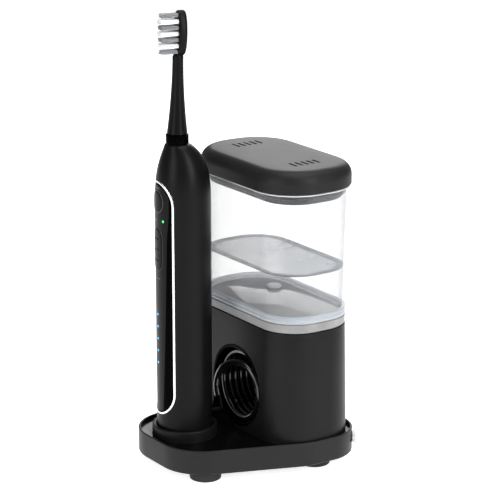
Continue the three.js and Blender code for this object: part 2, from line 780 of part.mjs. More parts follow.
function hoseCoil() {
  const back = outletY + hoseRadius;
  const ring = tube(coilRadius + hoseRadius, coilRadius - hoseRadius, 0, back - coilFrontY, 40);
  const reach = fittingOuter + gap;
  const notch = box(-3 * reach, gap, -reach, reach, -2 * reach, 2 * reach)
    .rotate([0, -outletAngle - 90, 0]).translate(outletPoint.toArray());
  return atPocket(ring, coilFrontY).subtract(notch);
}

function hoseTail() {
  return pipe(smooth(tailPoints), hoseRadius, 24);
}

// ---------- tank and lid ----------
const tankBaseZ = towerTopZ + gap;
const tankTopZ = tankBaseZ + tankHeight;
const tankFloorZ = tankBaseZ + tankSkirt;
const lidZ = tankTopZ + gap;

// The tank's outline between two heights, which leans out towards the top.
function tankBlock(inset, z0, z1) {
  const at = (z) => (z - tankBaseZ) / tankHeight;
  const growX = tankFlareX * (at(z1) - at(z0));
  const growY = tankFlareY * (at(z1) - at(z0));
  return leaningPrism(
    towerHalfX + tankFlareX * at(z0) - inset, towerHalfY + tankFlareY * at(z0) - inset,
    towerRadius + tankFlareY * at(z0) - inset, growX, growY, z0, z1,
  ).translate([0, towerY, 0]);
}

function reservoirTank() {
  const hole = rod(valveHole, tankBaseZ, tankFloorZ + tankFloor + cutOver, 24).translate([wellX, wellY, 0]);
  return tankBlock(0, tankBaseZ, tankTopZ)
    .subtract(tankBlock(tankWall, tankBaseZ - cutOver, tankFloorZ))
    .subtract(tankBlock(tankWall, tankFloorZ + tankFloor, tankTopZ + cutOver))
    .subtract(hole);
}

const valveSeatZ = tankFloorZ + tankFloor + gap;
const valveFootZ = tankFloorZ - springRoom;

function valvePlug() {
  return lathe([
    [0, valveFootZ - valveFootThick], [valveFoot, valveFootZ - valveFootThick], [valveFoot, valveFootZ],
    [valveStem, valveFootZ], [valveStem, valveSeatZ], [valveHead, valveSeatZ],
    [valveHead, valveSeatZ + valveHeadEdge], [valveHead - valveHeadTaper, valveSeatZ + valveHeadThick],
    [0, valveSeatZ + valveHeadThick],
  ], 24).translate([wellX, wellY, 0]);
}

function valveSpring() {
  return tube(valveFoot - springInset, valveStem + gap, valveFootZ + gap, tankFloorZ - gap, 24)
    .translate([wellX, wellY, 0]);
}

function wellSeal() {
  const z0 = wellFloorZ + gap;
  return tube(wellRadius - gap, valveFoot + sealClear, z0, z0 + sealTall, 24)
    .translate([wellX, wellY, 0]);
}

const lidBlock = (inset, z0, z1) => roundedBlock(
  lidHalfX - inset, lidHalfY - inset, lidRadius - inset, z0, z1,
).translate([0, towerY, 0]);

// The lid's form with a broad rounding round its top, moved in by a wall from its open underside.
function lidForm(inset) {
  const low = inset > 0 ? lidZ - cutOver : lidZ;
  const top = lidZ + lidHeight - inset;
  const flat = inset + lidRound;
  const crown = new THREE.ExtrudeGeometry(roundedRect(lidHalfX - flat, lidHalfY - flat, lidRadius - flat), {
    depth: lidCrown, bevelEnabled: true, bevelSize: lidRound, bevelThickness: lidRound, bevelSegments: 4,
  });
  return solid(crown.translate(0, towerY, top - lidCrown - lidRound))
    .intersect(lidBlock(inset - cutOver, low, top + cutOver)).add(lidBlock(inset, low, top - lidRound));
}

const plugGap = tankWall + gap + gasketThick + gap;

function reservoirLid() {
  const halfX = towerHalfX + tankFlareX - plugGap - plugDraft;
  const halfY = towerHalfY + tankFlareY - plugGap - plugDraft;
  const radius = towerRadius + tankFlareY - plugGap;
  const plug = (inset, z0, z1) => roundedBlock(halfX - inset, halfY - inset, radius - inset, z0, z1)
    .translate([0, towerY, 0]);
  const web = lidBlock(lidWall / 2, lidZ + webLow, lidZ + webHigh);
  let body = lidForm(0).subtract(lidForm(lidWall)).add(web).add(plug(0, lidZ - lidPlug, lidZ + webHigh))
    .subtract(plug(lidWall, lidZ - lidPlug - cutOver, lidZ + webHigh + cutOver));
  [-ventX, ventX].forEach((x) => {
    for (let i = 0; i < ventCount; i += 1) {
      const y = towerY + (i - (ventCount - 1) / 2) * ventPitch;
      const slot = box(-ventLength / 2, ventLength / 2, -ventWidth / 2, ventWidth / 2,
        lidZ + lidHeight - 2 * lidWall, lidZ + lidHeight + cutOver);
      body = body.subtract(slot.translate([x, y, 0]));
    }
  });
  return body;
}

function lidGasket() {
  const halfX = towerHalfX + tankFlareX - tankWall - gap - plugDraft;
  const halfY = towerHalfY + tankFlareY - tankWall - gap - plugDraft;
  const radius = towerRadius + tankFlareY - tankWall;
  const z0 = lidZ - lidPlug + gasketRise;
  const ring = (inset, a, b) => roundedBlock(halfX - inset, halfY - inset, radius - inset, a, b)
    .translate([0, towerY, 0]);
  const hole = ring(gasketThick, z0 - cutOver, z0 + gasketHeight + cutOver);
  return ring(0, z0, z0 + gasketHeight).subtract(hole);
}

// ---------- handle, in its own frame: axis at the origin, front towards -Y ----------
// How far the shoulder has moved forward at a height.
function shoulderShift(z) {
  const part = THREE.MathUtils.clamp((z - handleTopZ + shoulderHeight) / shoulderHeight, 0, 1);
  return neckShift * part ** shiftCurve;
}

function lean(body) {
  return body.warp((v) => { v[1] -= shoulderShift(v[2]); });
}

// The handle's outline, moved in by a wall.
function handleProfile(inset, z0) {
  const rows = 8;
  const drop = handleRadius - shoulderTopRadius;
  const points = [[handleRadius - inset, z0]];
  for (let i = 0; i <= rows; i += 1) {
    const part = i / rows;
    const r = handleRadius - drop * part ** shoulderCurve;
    points.push([r - inset, handleTopZ - inset - shoulderHeight * (1 - part)]);
  }
  return points;
}

function handleForm(inset, z0) {
  const outline = handleProfile(inset, z0);
  return lathe([[0, z0], ...outline, [0, handleTopZ - inset]]);
}

// A stadium on the handle's front between two heights, cut to a layer between two radii.
function frontLayer(halfWidth, low, high, inner, outer) {
  const length = high - low;
  const outline = roundedRect(halfWidth, length / 2, halfWidth, 7);
  const block = alongY(prism(outline, 0, cutOuter)).translate([0, -cutOuter, (low + high) / 2]);
  return block.intersect(tube(outer, inner, low - cutOver, high + cutOver, 48));
}

const panelHalf = handleRadius * Math.sin(rad(panelHalfAngle));
const panelLow = handleZ + panelBottom;
const panelHigh = handleZ + panelTop;
const panelSeat = handleRadius - panelThick - gap;
const levels = Array.from({ length: levelCount }, (_, i) => [0, handleZ + levelUp + i * levelPitch]);
const statusX = handleRadius * Math.sin(rad(statusAngle));
const statuses = [-1, 0, 1].map((side) => [side * statusX, handleZ + statusUp]);

// A rod through the handle's front at (x, z).
function frontRod(radius, x, z, back, front, segments = 24) {
  return alongY(rod(radius, 0, front - back, segments)).translate([x, -front, z]);
}

function pillRod(halfWidth, halfLength, z, back, front) {
  const outline = roundedRect(halfWidth, halfLength, halfWidth, 5);
  return alongY(prism(outline, 0, front - back)).translate([0, -front, z]);
}

function frontCuts(extra) {
  const cuts = [
    frontRod(powerButtonRadius + extra, 0, handleZ + powerButtonUp, cutInner, cutOuter, 32),
    pillRod(modeButtonHalfWidth + extra, modeButtonLength / 2 + extra, handleZ + modeButtonUp,
      cutInner, cutOuter),
  ];
  [...levels, ...statuses].forEach(([x, z]) => {
    cuts.push(frontRod(lensRadius + extra, x, z, cutInner, cutOuter, 8));
  });
  return all(cuts);
}

function handleBody() {
  const shaftHole = rod(shaftHoleRadius, handleTopZ - shaftHoleDepth, handleTopZ + cutOver, 24)
    .translate([0, -neckShift, 0]);
  const bottomRound = lathe([
    [handleRadius + cutOver, handleZ - cutOver], [handleRadius - bottomChamfer, handleZ - cutOver],
    [handleRadius - bottomChamfer, handleZ], [handleRadius, handleZ + bottomChamfer],
    [handleRadius + cutOver, handleZ + bottomChamfer], [handleRadius + cutOver, handleZ - cutOver],
  ]);
  return lean(handleForm(0, handleZ)).subtract(lean(handleForm(handleWall, handleZ - cutOver)))
    .subtract(frontLayer(panelHalf + gap, panelLow - gap, panelHigh + gap, panelSeat, cutOuter))
    .subtract(frontCuts(gap)).subtract(shaftHole).subtract(bottomRound);
}

function handleCap() {
  const outer = handleRadius - handleWall - gap;
  const bore = postRadius + postClear;
  const well = handleZ + postHeight + postHeadroom;
  return lathe([
    [0, well + capSkin], [bore + capSleeve, well + capSkin], [bore + capSleeve, handleZ + capPlug],
    [outer, handleZ + capPlug], [outer, handleZ], [bore, handleZ], [bore, well], [0, well],
  ]);
}

function frontPanel() {
  return frontLayer(panelHalf - trimWidth - gap, panelLow + trimWidth + gap, panelHigh - trimWidth - gap,
    panelSeat + gap, cutOuter).intersect(lean(handleForm(0, handleZ))).subtract(frontCuts(gap));
}

function panelTrim() {
  const inner = frontLayer(panelHalf - trimWidth, panelLow + trimWidth, panelHigh - trimWidth,
    panelSeat - cutOver, cutOuter);
  return frontLayer(panelHalf, panelLow, panelHigh, panelSeat + gap, cutOuter)
    .intersect(lean(handleForm(-trimProud, handleZ))).subtract(inner);
}

function buttonFace(extra) {
  return rod(handleRadius + extra, handleZ, handleTopZ, 48);
}

const powerButton = () => frontRod(
  powerButtonRadius, 0, handleZ + powerButtonUp, buttonInner, cutOuter, 32,
).intersect(buttonFace(buttonProud));
const modeButton = () => pillRod(
  modeButtonHalfWidth, modeButtonLength / 2, handleZ + modeButtonUp, buttonInner, cutOuter,
).intersect(buttonFace(buttonProud));
const lens = ([x, z]) => frontRod(lensRadius, x, z, panelSeat - lensSink, cutOuter, 8)
  .intersect(buttonFace(0));

function handleBoard() {
  const z0 = handleZ + boardBottom;
  const z1 = handleZ + powerButtonUp + boardBeyond;
  return box(-boardHalfWidth, boardHalfWidth, -boardFront, -boardFront + boardThick, z0, z1);
}

const batteryTop = handleZ + batteryUp + batteryLength;
const battery = () => lathe([
  [0, handleZ + batteryUp], [batteryRadius, handleZ + batteryUp], [batteryRadius, batteryTop],
  [terminalRadius, batteryTop], [terminalRadius, batteryTop + terminalTall], [0, batteryTop + terminalTall],
], 28);
const atNeck = (body) => body.translate([0, -neckShift, 0]);
const motorTop = handleZ + motorUp;
const shaftTop = handleTopZ + gap + collarHeight + shaftReach;
const sonicMotor = () => atNeck(rod(motorRadius, motorTop - motorLength, motorTop, 32));
const driveShaft = () => atNeck(rod(shaftRadius, motorTop + gap, shaftTop));
const shaftSeal = () => atNeck(tube(
  shaftHoleRadius - gap, shaftRadius + sealGrip, handleTopZ - sealDepth, handleTopZ - gap, 24,
));
const receiverZ = handleZ + capPlug + gap;
const receiverCoil = () => tube(
  receiverRadius, postRadius + postClear + capSleeve + gap, receiverZ, receiverZ + receiverTall, 28,
);

// The elbow on the handle's back that takes the hose, found from the hose's last points.
function hoseElbow() {
  const end = tailPoints.at(-1);
  const heading = end.clone().sub(tailPoints.at(-2)).normalize();
  const toLocal = (v) => v.applyAxisAngle(new THREE.Vector3(0, 0, 1), -rad(handleTurn));
  const beyond = end.clone().addScaledVector(heading, gap);
  const mouth = toLocal(beyond.sub(new THREE.Vector3(handleX, handleY, 0)));
  const into = toLocal(heading.clone());
  const middle = mouth.clone().addScaledVector(into, socketReach);
  const arm = aim(rod(socketRadius, 0, socketReach, 20), mouth, into);
  const knee = solid(new THREE.SphereGeometry(socketRadius, 16, 8)).translate(middle.toArray());
  const stub = alongY(rod(socketRadius, 0, middle.y, 20)).translate([middle.x, 0, middle.z]);
  return arm.add(knee).add(stub).subtract(rod(handleRadius + gap, 0, handleTopZ, 56));
}

// ---------- brush ----------
const brushZ = handleTopZ + gap;
const neckZ = brushZ + collarHeight + gap;
const headMiddleZ = neckZ + neckLength - headSink + headHalfHeight;

function brushCollar() {
  const bore = shaftRadius + shaftClear;
  const groove = brushZ + collarHeight / 2;
  const waist = collarRadius - grooveDepth;
  return atNeck(lathe([
    [bore, brushZ], [collarRadius, brushZ], [collarRadius, groove - grooveHalf],
    [waist, groove - grooveFlat], [waist, groove + grooveFlat],
    [collarRadius, groove + grooveHalf], [collarRadius, neckZ - gap], [bore, neckZ - gap], [bore, brushZ],
  ], 28));
}

// Leans what is above the collar back, more and more towards the neck's top.
function neckTilt(body) {
  return body.warp((v) => { v[1] += neckLean * Math.max(0, (v[2] - neckZ) / neckLength); });
}

function brushNeck() {
  const rows = 7;
  const profile = [[0, neckZ]];
  for (let i = 0; i <= rows; i += 1) {
    const part = i / rows;
    const r = neckTopRadius + (neckBottomRadius - neckTopRadius) * (1 - part) ** neckCurve;
    profile.push([r, neckZ + (neckLength - neckRound) * part]);
  }
  profile.push([neckTip, neckZ + neckLength], [0, neckZ + neckLength]);
  const bore = rod(shaftRadius + shaftClear, neckZ - cutOver, shaftTop + cutOver);
  const outline = ellipse(headHalfWidth - headRound, headHalfHeight - headRound);
  const plate = new THREE.ExtrudeGeometry(outline, {
    depth: headThick - 2 * headRound, bevelEnabled: true, bevelSize: headRound,
    bevelThickness: headRound, bevelSegments: 2, curveSegments: 16,
  });
  const atHead = (body) => alongY(body).translate([0, -headFront, headMiddleZ]);
  const head = atHead(solid(plate.translate(0, 0, headRound)));
  const seatShape = ellipse(headHalfWidth - plateInset, headHalfHeight - plateInset);
  const seat = atHead(prism(seatShape, -cutOver, plateThick + 2 * gap));
  return atNeck(neckTilt(lathe(profile, 24).add(head).subtract(seat)).subtract(bore));
}

function bristleField() {
  const inset = plateInset + gap;
  const pieces = [alongY(prism(ellipse(headHalfWidth - inset, headHalfHeight - inset), 0, plateThick))];
  const endRow = (tuftRows - 1) / 2;
  for (let row = -endRow; row <= endRow; row += 1) {
    const count = Math.abs(row) === endRow ? 2 : 3;
    for (let i = 0; i < count; i += 1) {
      const place = [(i - (count - 1) / 2) * tuftSpacing, 0, row * tuftPitch];
      pieces.push(alongY(rod(tuftRadius, -tuftLength, -gap, 6)).translate(place));
      pieces.push(alongY(rod(tuftRoot, -2 * gap, tuftSink, 4)).translate(place));
    }
  }
  return atNeck(neckTilt(all(pieces).translate([0, -headFront, headMiddleZ])));
}

// ---------- assembly ----------
const station = group();
const base = group(station);
add(base, 'base_tray', baseTray(), 'satinBlack');
add(base, 'bottom_cover', bottomCover(), 'satinBlack');
footSpots.forEach(([name, x, y]) => add(base, `foot_${name}`, foot().translate([x, y, 0]), 'greyRubber'));
screwSpots.forEach(([x, y], i) => {
  add(base, `cover_screw_${i + 1}`, coverScrew().translate([x, y, 0]), 'steel');
});
add(base, 'charging_cup', atHandle(chargingCup()), 'satinBlack');
add(base, 'ferrite_core', atHandle(ferriteCore()), 'ferrite');
add(base, 'primary_coil', atHandle(primaryCoil()), 'copper');
add(base, 'charger_board', chargerBoard(), 'board');
add(base, 'power_inlet', powerInlet(), 'greyPlastic');
add(base, 'tower_shell', towerShell(), 'satinBlack');
add(base, 'tower_deck', towerDeck(), 'greyPlastic');
add(base, 'well_seal', wellSeal(), 'greyRubber');
add(base, 'pump_motor', pumpMotor(), 'steel');
add(base, 'motor_pinion', motorPinion(), 'whiteNylon');
add(base, 'gear_frame', gearFrame(), 'greyPlastic');
add(base, 'cam_gear', camGear(), 'whiteNylon');
add(base, 'pump_body', pumpBody(), 'greyPlastic');
add(base, 'pump_piston', pumpPiston(), 'steel');
add(base, 'suction_tube', pipe(suctionPath(), tubeOuter - gap, 14), 'clear');
add(base, 'delivery_tube', pipe(deliveryPath(), tubeOuter - gap, 20), 'clear');
add(base, 'hose_outlet', hoseOutlet(), 'glossBlack');
add(base, 'hose_coil', hoseCoil(), 'hose');
add(base, 'hose_tail', hoseTail(), 'hose');

const reservoir = group(station);
add(reservoir, 'reservoir_tank', reservoirTank(), 'clear');
add(reservoir, 'valve_plug', valvePlug(), 'whiteNylon');
add(reservoir, 'valve_spring', valveSpring(), 'steel');
add(reservoir, 'reservoir_lid', reservoirLid(), 'satinBlack');
add(reservoir, 'lid_gasket', lidGasket(), 'greyRubber');

const handle = group(station);
handle.position.set(handleX, handleY, 0);
handle.rotation.z = rad(handleTurn);
add(handle, 'handle_body', handleBody(), 'satinBlack');
add(handle, 'handle_cap', handleCap(), 'satinBlack');
add(handle, 'front_panel', frontPanel(), 'glossBlack');
add(handle, 'panel_trim', panelTrim(), 'silver');
add(handle, 'power_button', powerButton(), 'glossBlack');
add(handle, 'mode_button', modeButton(), 'glossBlack');
levels.forEach((spot, i) => add(handle, `level_lens_${i + 1}`, lens(spot), 'blueLens'));
statuses.forEach((spot, i) => {
  add(handle, `status_lens_${i + 1}`, lens(spot), i === 2 ? 'greenLens' : 'darkLens');
});
add(handle, 'handle_board', handleBoard(), 'board');
add(handle, 'battery', battery(), 'steel');
add(handle, 'sonic_motor', sonicMotor(), 'steel');
add(handle, 'drive_shaft', driveShaft(), 'steel');
add(handle, 'shaft_seal', shaftSeal(), 'greyRubber');
add(handle, 'receiver_coil', receiverCoil(), 'copper');
add(handle, 'hose_elbow', hoseElbow(), 'glossBlack');

const brush = group(handle);
add(brush, 'brush_collar', brushCollar(), 'glossBlack');
add(brush, 'brush_neck', brushNeck(), 'satinBlack');
add(brush, 'bristle_field', bristleField(), 'bristle');

export default station;
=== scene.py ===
"""Looks of a sonic toothbrush and water flosser on its charging station, round its CAD frame."""
import json
import math

import bmesh
import bpy
from mathutils import Matrix, Vector

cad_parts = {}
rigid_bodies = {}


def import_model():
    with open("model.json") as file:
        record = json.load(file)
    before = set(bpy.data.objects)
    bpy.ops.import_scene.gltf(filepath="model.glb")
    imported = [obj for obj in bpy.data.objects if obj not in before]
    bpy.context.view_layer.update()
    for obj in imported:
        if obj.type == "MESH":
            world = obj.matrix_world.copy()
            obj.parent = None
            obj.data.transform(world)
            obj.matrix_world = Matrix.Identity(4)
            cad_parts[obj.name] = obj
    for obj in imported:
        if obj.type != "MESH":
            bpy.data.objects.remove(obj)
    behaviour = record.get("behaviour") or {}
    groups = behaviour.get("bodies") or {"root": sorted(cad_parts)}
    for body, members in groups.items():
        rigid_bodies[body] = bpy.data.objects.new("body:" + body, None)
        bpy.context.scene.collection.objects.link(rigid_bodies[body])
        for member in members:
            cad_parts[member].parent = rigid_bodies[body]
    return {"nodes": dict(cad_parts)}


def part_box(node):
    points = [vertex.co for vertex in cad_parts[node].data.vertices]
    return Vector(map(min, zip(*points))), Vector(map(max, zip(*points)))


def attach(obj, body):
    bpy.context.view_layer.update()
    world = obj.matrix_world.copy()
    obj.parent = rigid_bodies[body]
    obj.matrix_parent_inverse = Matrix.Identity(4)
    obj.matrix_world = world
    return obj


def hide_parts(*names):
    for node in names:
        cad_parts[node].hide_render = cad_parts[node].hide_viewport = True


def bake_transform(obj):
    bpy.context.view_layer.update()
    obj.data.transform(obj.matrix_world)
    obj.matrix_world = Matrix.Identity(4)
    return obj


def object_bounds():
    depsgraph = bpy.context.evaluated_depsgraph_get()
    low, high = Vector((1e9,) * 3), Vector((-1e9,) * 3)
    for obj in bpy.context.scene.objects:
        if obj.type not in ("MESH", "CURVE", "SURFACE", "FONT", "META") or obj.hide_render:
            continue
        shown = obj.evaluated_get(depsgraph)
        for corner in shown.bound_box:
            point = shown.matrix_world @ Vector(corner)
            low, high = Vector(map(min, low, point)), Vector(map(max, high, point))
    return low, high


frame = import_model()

bl_info = {
    "name": "Flosser station",
    "version": (1, 0, 0),
    "blender": (4, 5, 0),
    "location": "3D View > Sidebar > Flosser",
    "description": "Builds the visible pieces of a toothbrush and flosser on its charging station",
    "category": "Add Mesh",
}

MM = 0.001
CAD_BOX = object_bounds()

# ---------- places and sizes, from the frame ----------
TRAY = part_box("base_tray")
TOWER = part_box("tower_shell")
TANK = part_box("reservoir_tank")
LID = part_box("reservoir_lid")
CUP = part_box("charging_cup")
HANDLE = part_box("handle_body")
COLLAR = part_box("brush_collar")
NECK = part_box("brush_neck")
TURN = math.radians(-10)                  # the handle stands turned in its cup
CUP_X = (CUP[0].x + CUP[1].x) / 2
CUP_Y = (CUP[0].y + CUP[1].y) / 2
STAND = Matrix.Translation((CUP_X, CUP_Y, 0)) @ Matrix.Rotation(TURN, 4, "Z")
TOWER_Y = (TANK[0].y + TANK[1].y) / 2
HANDLE_BOTTOM = HANDLE[0].z
HANDLE_TOP = HANDLE[1].z
HANDLE_RADIUS = 17.5 * MM
SHOULDER_HEIGHT = 46 * MM
SHOULDER_TOP_RADIUS = 7.6 * MM
SHOULDER_CURVE = 3.85
SHIFT_CURVE = 7.5
NECK_SHIFT = 3.4 * MM
NECK_LEAN = 0.02                          # how far the neck leans back for its height
COIL_RADIUS = 21.5 * MM
COIL_TURNS = 6 + 1 / 3
OUTLET_ANGLE = math.radians(-120)
OUTLET_Y = 27.7 * MM
COIL_Z = 47.5 * MM
POCKET_RADIUS = 24.5 * MM
POCKET_BACK = 30.6 * MM

TRAY_WALL = 2.4 * MM
TRAY_LIP = 1.5 * MM
TRAY_FLOOR_THICK = 2.2 * MM
NOSE_RADIUS = 29.6 * MM                   # the tray's corners at its cup end
NOSE_X = -5 * MM
NOSE_HALF = 10.9 * MM                     # from the cup end's middle to its corners' centres
TAIL_RADIUS = 25.5 * MM                   # the tray's corners round the tower
CUP_HOLE = 20.9 * MM
CUP_GAP = 0.3 * MM                        # between the handle and the cup's floor

TOWER_HALF_X = 52.3 * MM                  # at the tower's top
TOWER_HALF_Y = 29 * MM
TOWER_RADIUS = 24 * MM
TOWER_DRAFT_X = 0.9 * MM                  # how much each side leans out to the foot
TOWER_DRAFT_Y = 1.3 * MM
TOWER_WALL = 2.4 * MM
TANK_FLARE_X = 2 * MM                     # how much each side leans out to the top
TANK_FLARE_Y = 3 * MM
TANK_WALL = 2.2 * MM
TANK_FLOOR_RISE = 8.2 * MM                # inner floor above the tank's foot
SKIRT_HEIGHT = 5.6 * MM
LID_HALF_X = 55.6 * MM
LID_HALF_Y = 33.5 * MM
LID_RADIUS = 30 * MM
LID_HEIGHT = 14 * MM
LID_ROUND = 8 * MM
LID_WALL = 2 * MM
VENT_X = 31.5 * MM

PANEL_HALF = HANDLE_RADIUS * math.radians(49)
PANEL_LOW = HANDLE_BOTTOM + 14.7 * MM
PANEL_HIGH = HANDLE_TOP - 22 * MM
POWER_KEY_Z = HANDLE_BOTTOM + 152.8 * MM
POWER_KEY_RADIUS = 6.6 * MM
MODE_KEY_Z = HANDLE_BOTTOM + 122.4 * MM
MODE_KEY_HALF_WIDTH = 5.8 * MM
MODE_KEY_HALF_LENGTH = 13.5 * MM
LENS_RADIUS = 0.8 * MM
LEVEL_COUNT = 5
LEVEL_Z = HANDLE_BOTTOM + 48.7 * MM       # the lowest level light
LEVEL_PITCH = 7.9 * MM
STATUS_Z = HANDLE_BOTTOM + 141.4 * MM
STATUS_ANGLE = math.radians(23)
MARK_ROWS = ((161.4 * MM, 4, 1.6 * MM), (103.8 * MM, 5, 1.3 * MM))   # height, count and pitch

SHAFT_BORE = 1.9 * MM
NECK_RUN = 50 * MM
NECK_LOW_RADIUS = 6.4 * MM
NECK_TOP_RADIUS = 3.4 * MM
NECK_CURVE = 1.9
HEAD_HALF_X = 5.6 * MM
HEAD_HALF_Z = 14 * MM
HEAD_Z = NECK[1].z - HEAD_HALF_Z
HEAD_FRONT = -1.1 * MM
HEAD_BACK = 4.5 * MM
TUFT_END_ROW = 3                          # rows each side of the middle one
TUFT_SPACING = 2.7 * MM
TUFT_PITCH = 3.7 * MM
TUFT_RINGS = ((0.0, 1), (0.42 * MM, 6), (0.84 * MM, 12), (1.18 * MM, 16))   # radius and filaments
TUFT_TWIST = 900                          # radians that a ring is turned for each metre of radius

LOOK_AT = Vector((13.0 * MM, -0.94 * MM, 140 * MM))
LIGHTS = (                                # name, place, size in metres and power in watts
    ("key_right", (0.95, 0.15, 0.6), (0.35, 0.9), 9),
    ("fill_front", (0.25, -1.2, 0.55), (0.5, 0.9), 7),
    ("top", (0.1, 0.1, 1.1), (0.8, 0.8), 9),
    ("back", (-0.9, 0.8, 0.7), (0.6, 0.9), 6),
)

# The free stretch of hose from the coil's front turn to the handle.
TAIL = [Vector(p) * MM for p in (
    (21.5, 0.2, 47.5), (20.6, 0, 53), (17.9, -0.7, 57.8), (13.9, -1.7, 61.6),
    (8.8, -2.9, 63.8), (3.2, -4.2, 64.2), (-2.1, -5.7, 62.8), (-6.8, -7, 59.8),
    (-10.1, -8.2, 55.4), (-11.9, -9.2, 50.1), (-11.8, -9.9, 44.6), (-10, -10.1, 39.4),
)]


# ---------- shader maths ----------
class Value:
    """A node socket that takes part in Python expressions."""

    def __init__(self, tree, socket):
        self.tree = tree
        self.socket = socket

    def _math(self, operation, a, b=None):
        node = self.tree.nodes.new("ShaderNodeMath")
        node.operation = operation
        for slot, value in zip(node.inputs, (a, b)):
            if isinstance(value, Value):
                self.tree.links.new(value.socket, slot)
            elif value is not None:
                slot.default_value = value
        return Value(self.tree, node.outputs[0])

    def __add__(self, other):
        return self._math("ADD", self, other)

    __radd__ = __add__

    def __mul__(self, other):
        return self._math("MULTIPLY", self, other)

    __rmul__ = __mul__

    def __sub__(self, other):
        return self._math("SUBTRACT", self, other)

    def __rsub__(self, other):
        return self._math("SUBTRACT", other, self)


class Finish:
    """A material under construction, with one Principled shader."""

    def __init__(self, name):
        self.material = bpy.data.materials.new(name)
        self.material.use_nodes = True
        self.tree = self.material.node_tree
        self.shader = self.tree.nodes["Principled BSDF"]

    def node(self, kind, settings=None, sockets=None, output=0):
        """Adds a node: its settings first, then the values or links of its sockets."""
        made = self.tree.nodes.new(kind)
        for key, value in (settings or {}).items():
            if key == "stops":
                for element, (place, color) in zip(made.color_ramp.elements, value):
                    element.position = place
                    element.color = color
            else:
                setattr(made, key, value)
        for key, value in (sockets or {}).items():
            self.feed(made.inputs[key], value)
        return Value(self.tree, made.outputs[output])

    def feed(self, socket, value):
        if isinstance(value, Value):
            self.tree.links.new(value.socket, socket)
        else:
            socket.default_value = value

    def set(self, **sockets):
        for key, value in sockets.items():
            self.feed(self.shader.inputs[key.replace("_", " ")], value)
        return self

    def place(self):
        return self.node("ShaderNodeTexCoord", output=3)

    def noise(self, scale, detail=3.0):
        return self.node("ShaderNodeTexNoise", {}, {
            "Vector": self.place(), "Scale": scale, "Detail": detail,
        })

    def blend(self, share, low, high):
        return self.node("ShaderNodeMix", {"data_type": "RGBA"}, {0: share, 6: low, 7: high}, output=2)

    def bump(self, height, distance, strength=1.0):
        return self.node("ShaderNodeBump", {}, {
            "Height": height, "Distance": distance, "Strength": strength,
        })


def rgb(color):
    return (*color, 1.0)


def moulded(name, color, roughness, grain=0.00002, grain_scale=4200, shine=0.3):
    """Moulded plastic: a fine spark-eroded grain and slow changes of gloss."""
    made = Finish(name)
    slow = made.noise(38, 2)
    fine = made.noise(grain_scale, 2)
    lift = tuple(min(1.0, c * 1.22 + 0.001) for c in color)
    made.set(
        Base_Color=made.blend(slow, rgb(color), rgb(lift)), Roughness=roughness - 0.04 + slow * 0.08,
        Normal=made.bump(fine, grain),
    )
    made.shader.inputs["Specular IOR Level"].default_value = shine
    return made.material


def polished(name, color, roughness=0.07, shine=0.3, coat=0.1):
    """High gloss plastic with faint flow waves."""
    made = Finish(name)
    wave = made.noise(55, 1)
    smear = made.noise(160, 4)
    made.set(
        Base_Color=made.blend(smear, rgb(color), rgb(tuple(c * 1.3 for c in color))),
        Roughness=roughness + smear * 0.05, Normal=made.bump(wave, 0.00003), Coat_Weight=coat,
    )
    made.shader.inputs["Coat Roughness"].default_value = 0.03
    made.shader.inputs["Specular IOR Level"].default_value = shine
    return made.material


def metal(name, color, roughness):
    """Brushed or plated metal with a fine lay across it."""
    made = Finish(name)
    lay = made.noise(900, 3)
    made.set(
        Base_Color=made.blend(lay, rgb(tuple(c * 0.9 for c in color)), rgb(color)), Metallic=1.0,
        Roughness=roughness - 0.03 + lay * 0.1, Normal=made.bump(lay, 0.00001),
    )
    return made.material


def clear_plastic(name, tint, alpha, edge=0.3):
    """Clear moulded plastic: open face on, and denser where the wall is seen along itself."""
    made = Finish(name)
    flow = made.noise(24, 2)
    rim = made.node("ShaderNodeLayerWeight", {}, {"Blend": 0.2}, output=1)
    made.set(
        Base_Color=made.blend(flow, rgb(tint), rgb(tuple(c * 0.9 for c in tint))),
        Roughness=0.03 + flow * 0.02, Alpha=alpha + rim * edge + flow * 0.015,
        Normal=made.bump(flow, 0.00005),
    )
    made.shader.inputs["Specular IOR Level"].default_value = 0.25
    return made.material


def frosted_plastic(name):
    """The tank's textured skirt, whose grey changes along it."""
    made = Finish(name)
    patch = made.noise(60, 3)
    grain = made.noise(2600, 2)
    made.set(
        Base_Color=made.blend(patch, rgb((0.1, 0.1, 0.1)), rgb((0.38, 0.38, 0.38))),
        Roughness=0.32 + patch * 0.15, Alpha=0.93 - patch * 0.08, Normal=made.bump(grain, 0.00004),
    )
    return made.material


def water_finish(name, tint, alpha):
    """Still water with a slight ripple, which shows as slow changes of tone."""
    made = Finish(name)
    ripple = made.noise(34, 2)
    made.set(
        Base_Color=made.blend(ripple, rgb(tint), rgb(tuple(min(1, c * 1.5) for c in tint))),
        Roughness=0.02 + ripple * 0.02, Alpha=alpha + ripple * alpha * 0.4, Normal=made.bump(ripple, 0.0006),
    )
    made.shader.inputs["Specular IOR Level"].default_value = 0.12
    return made.material


def lit(name, color, power):
    """A lens with its lamp on: brightest in the middle of its diffuser."""
    made = Finish(name)
    speck = made.noise(1500, 1)
    made.set(
        Base_Color=made.blend(speck, rgb(color), rgb(tuple(c * 0.8 for c in color))), Roughness=0.25,
        Emission_Color=made.blend(speck, rgb(color), rgb(tuple(min(1, c * 1.15) for c in color))),
    )
    made.shader.inputs["Emission Strength"].default_value = power
    return made.material


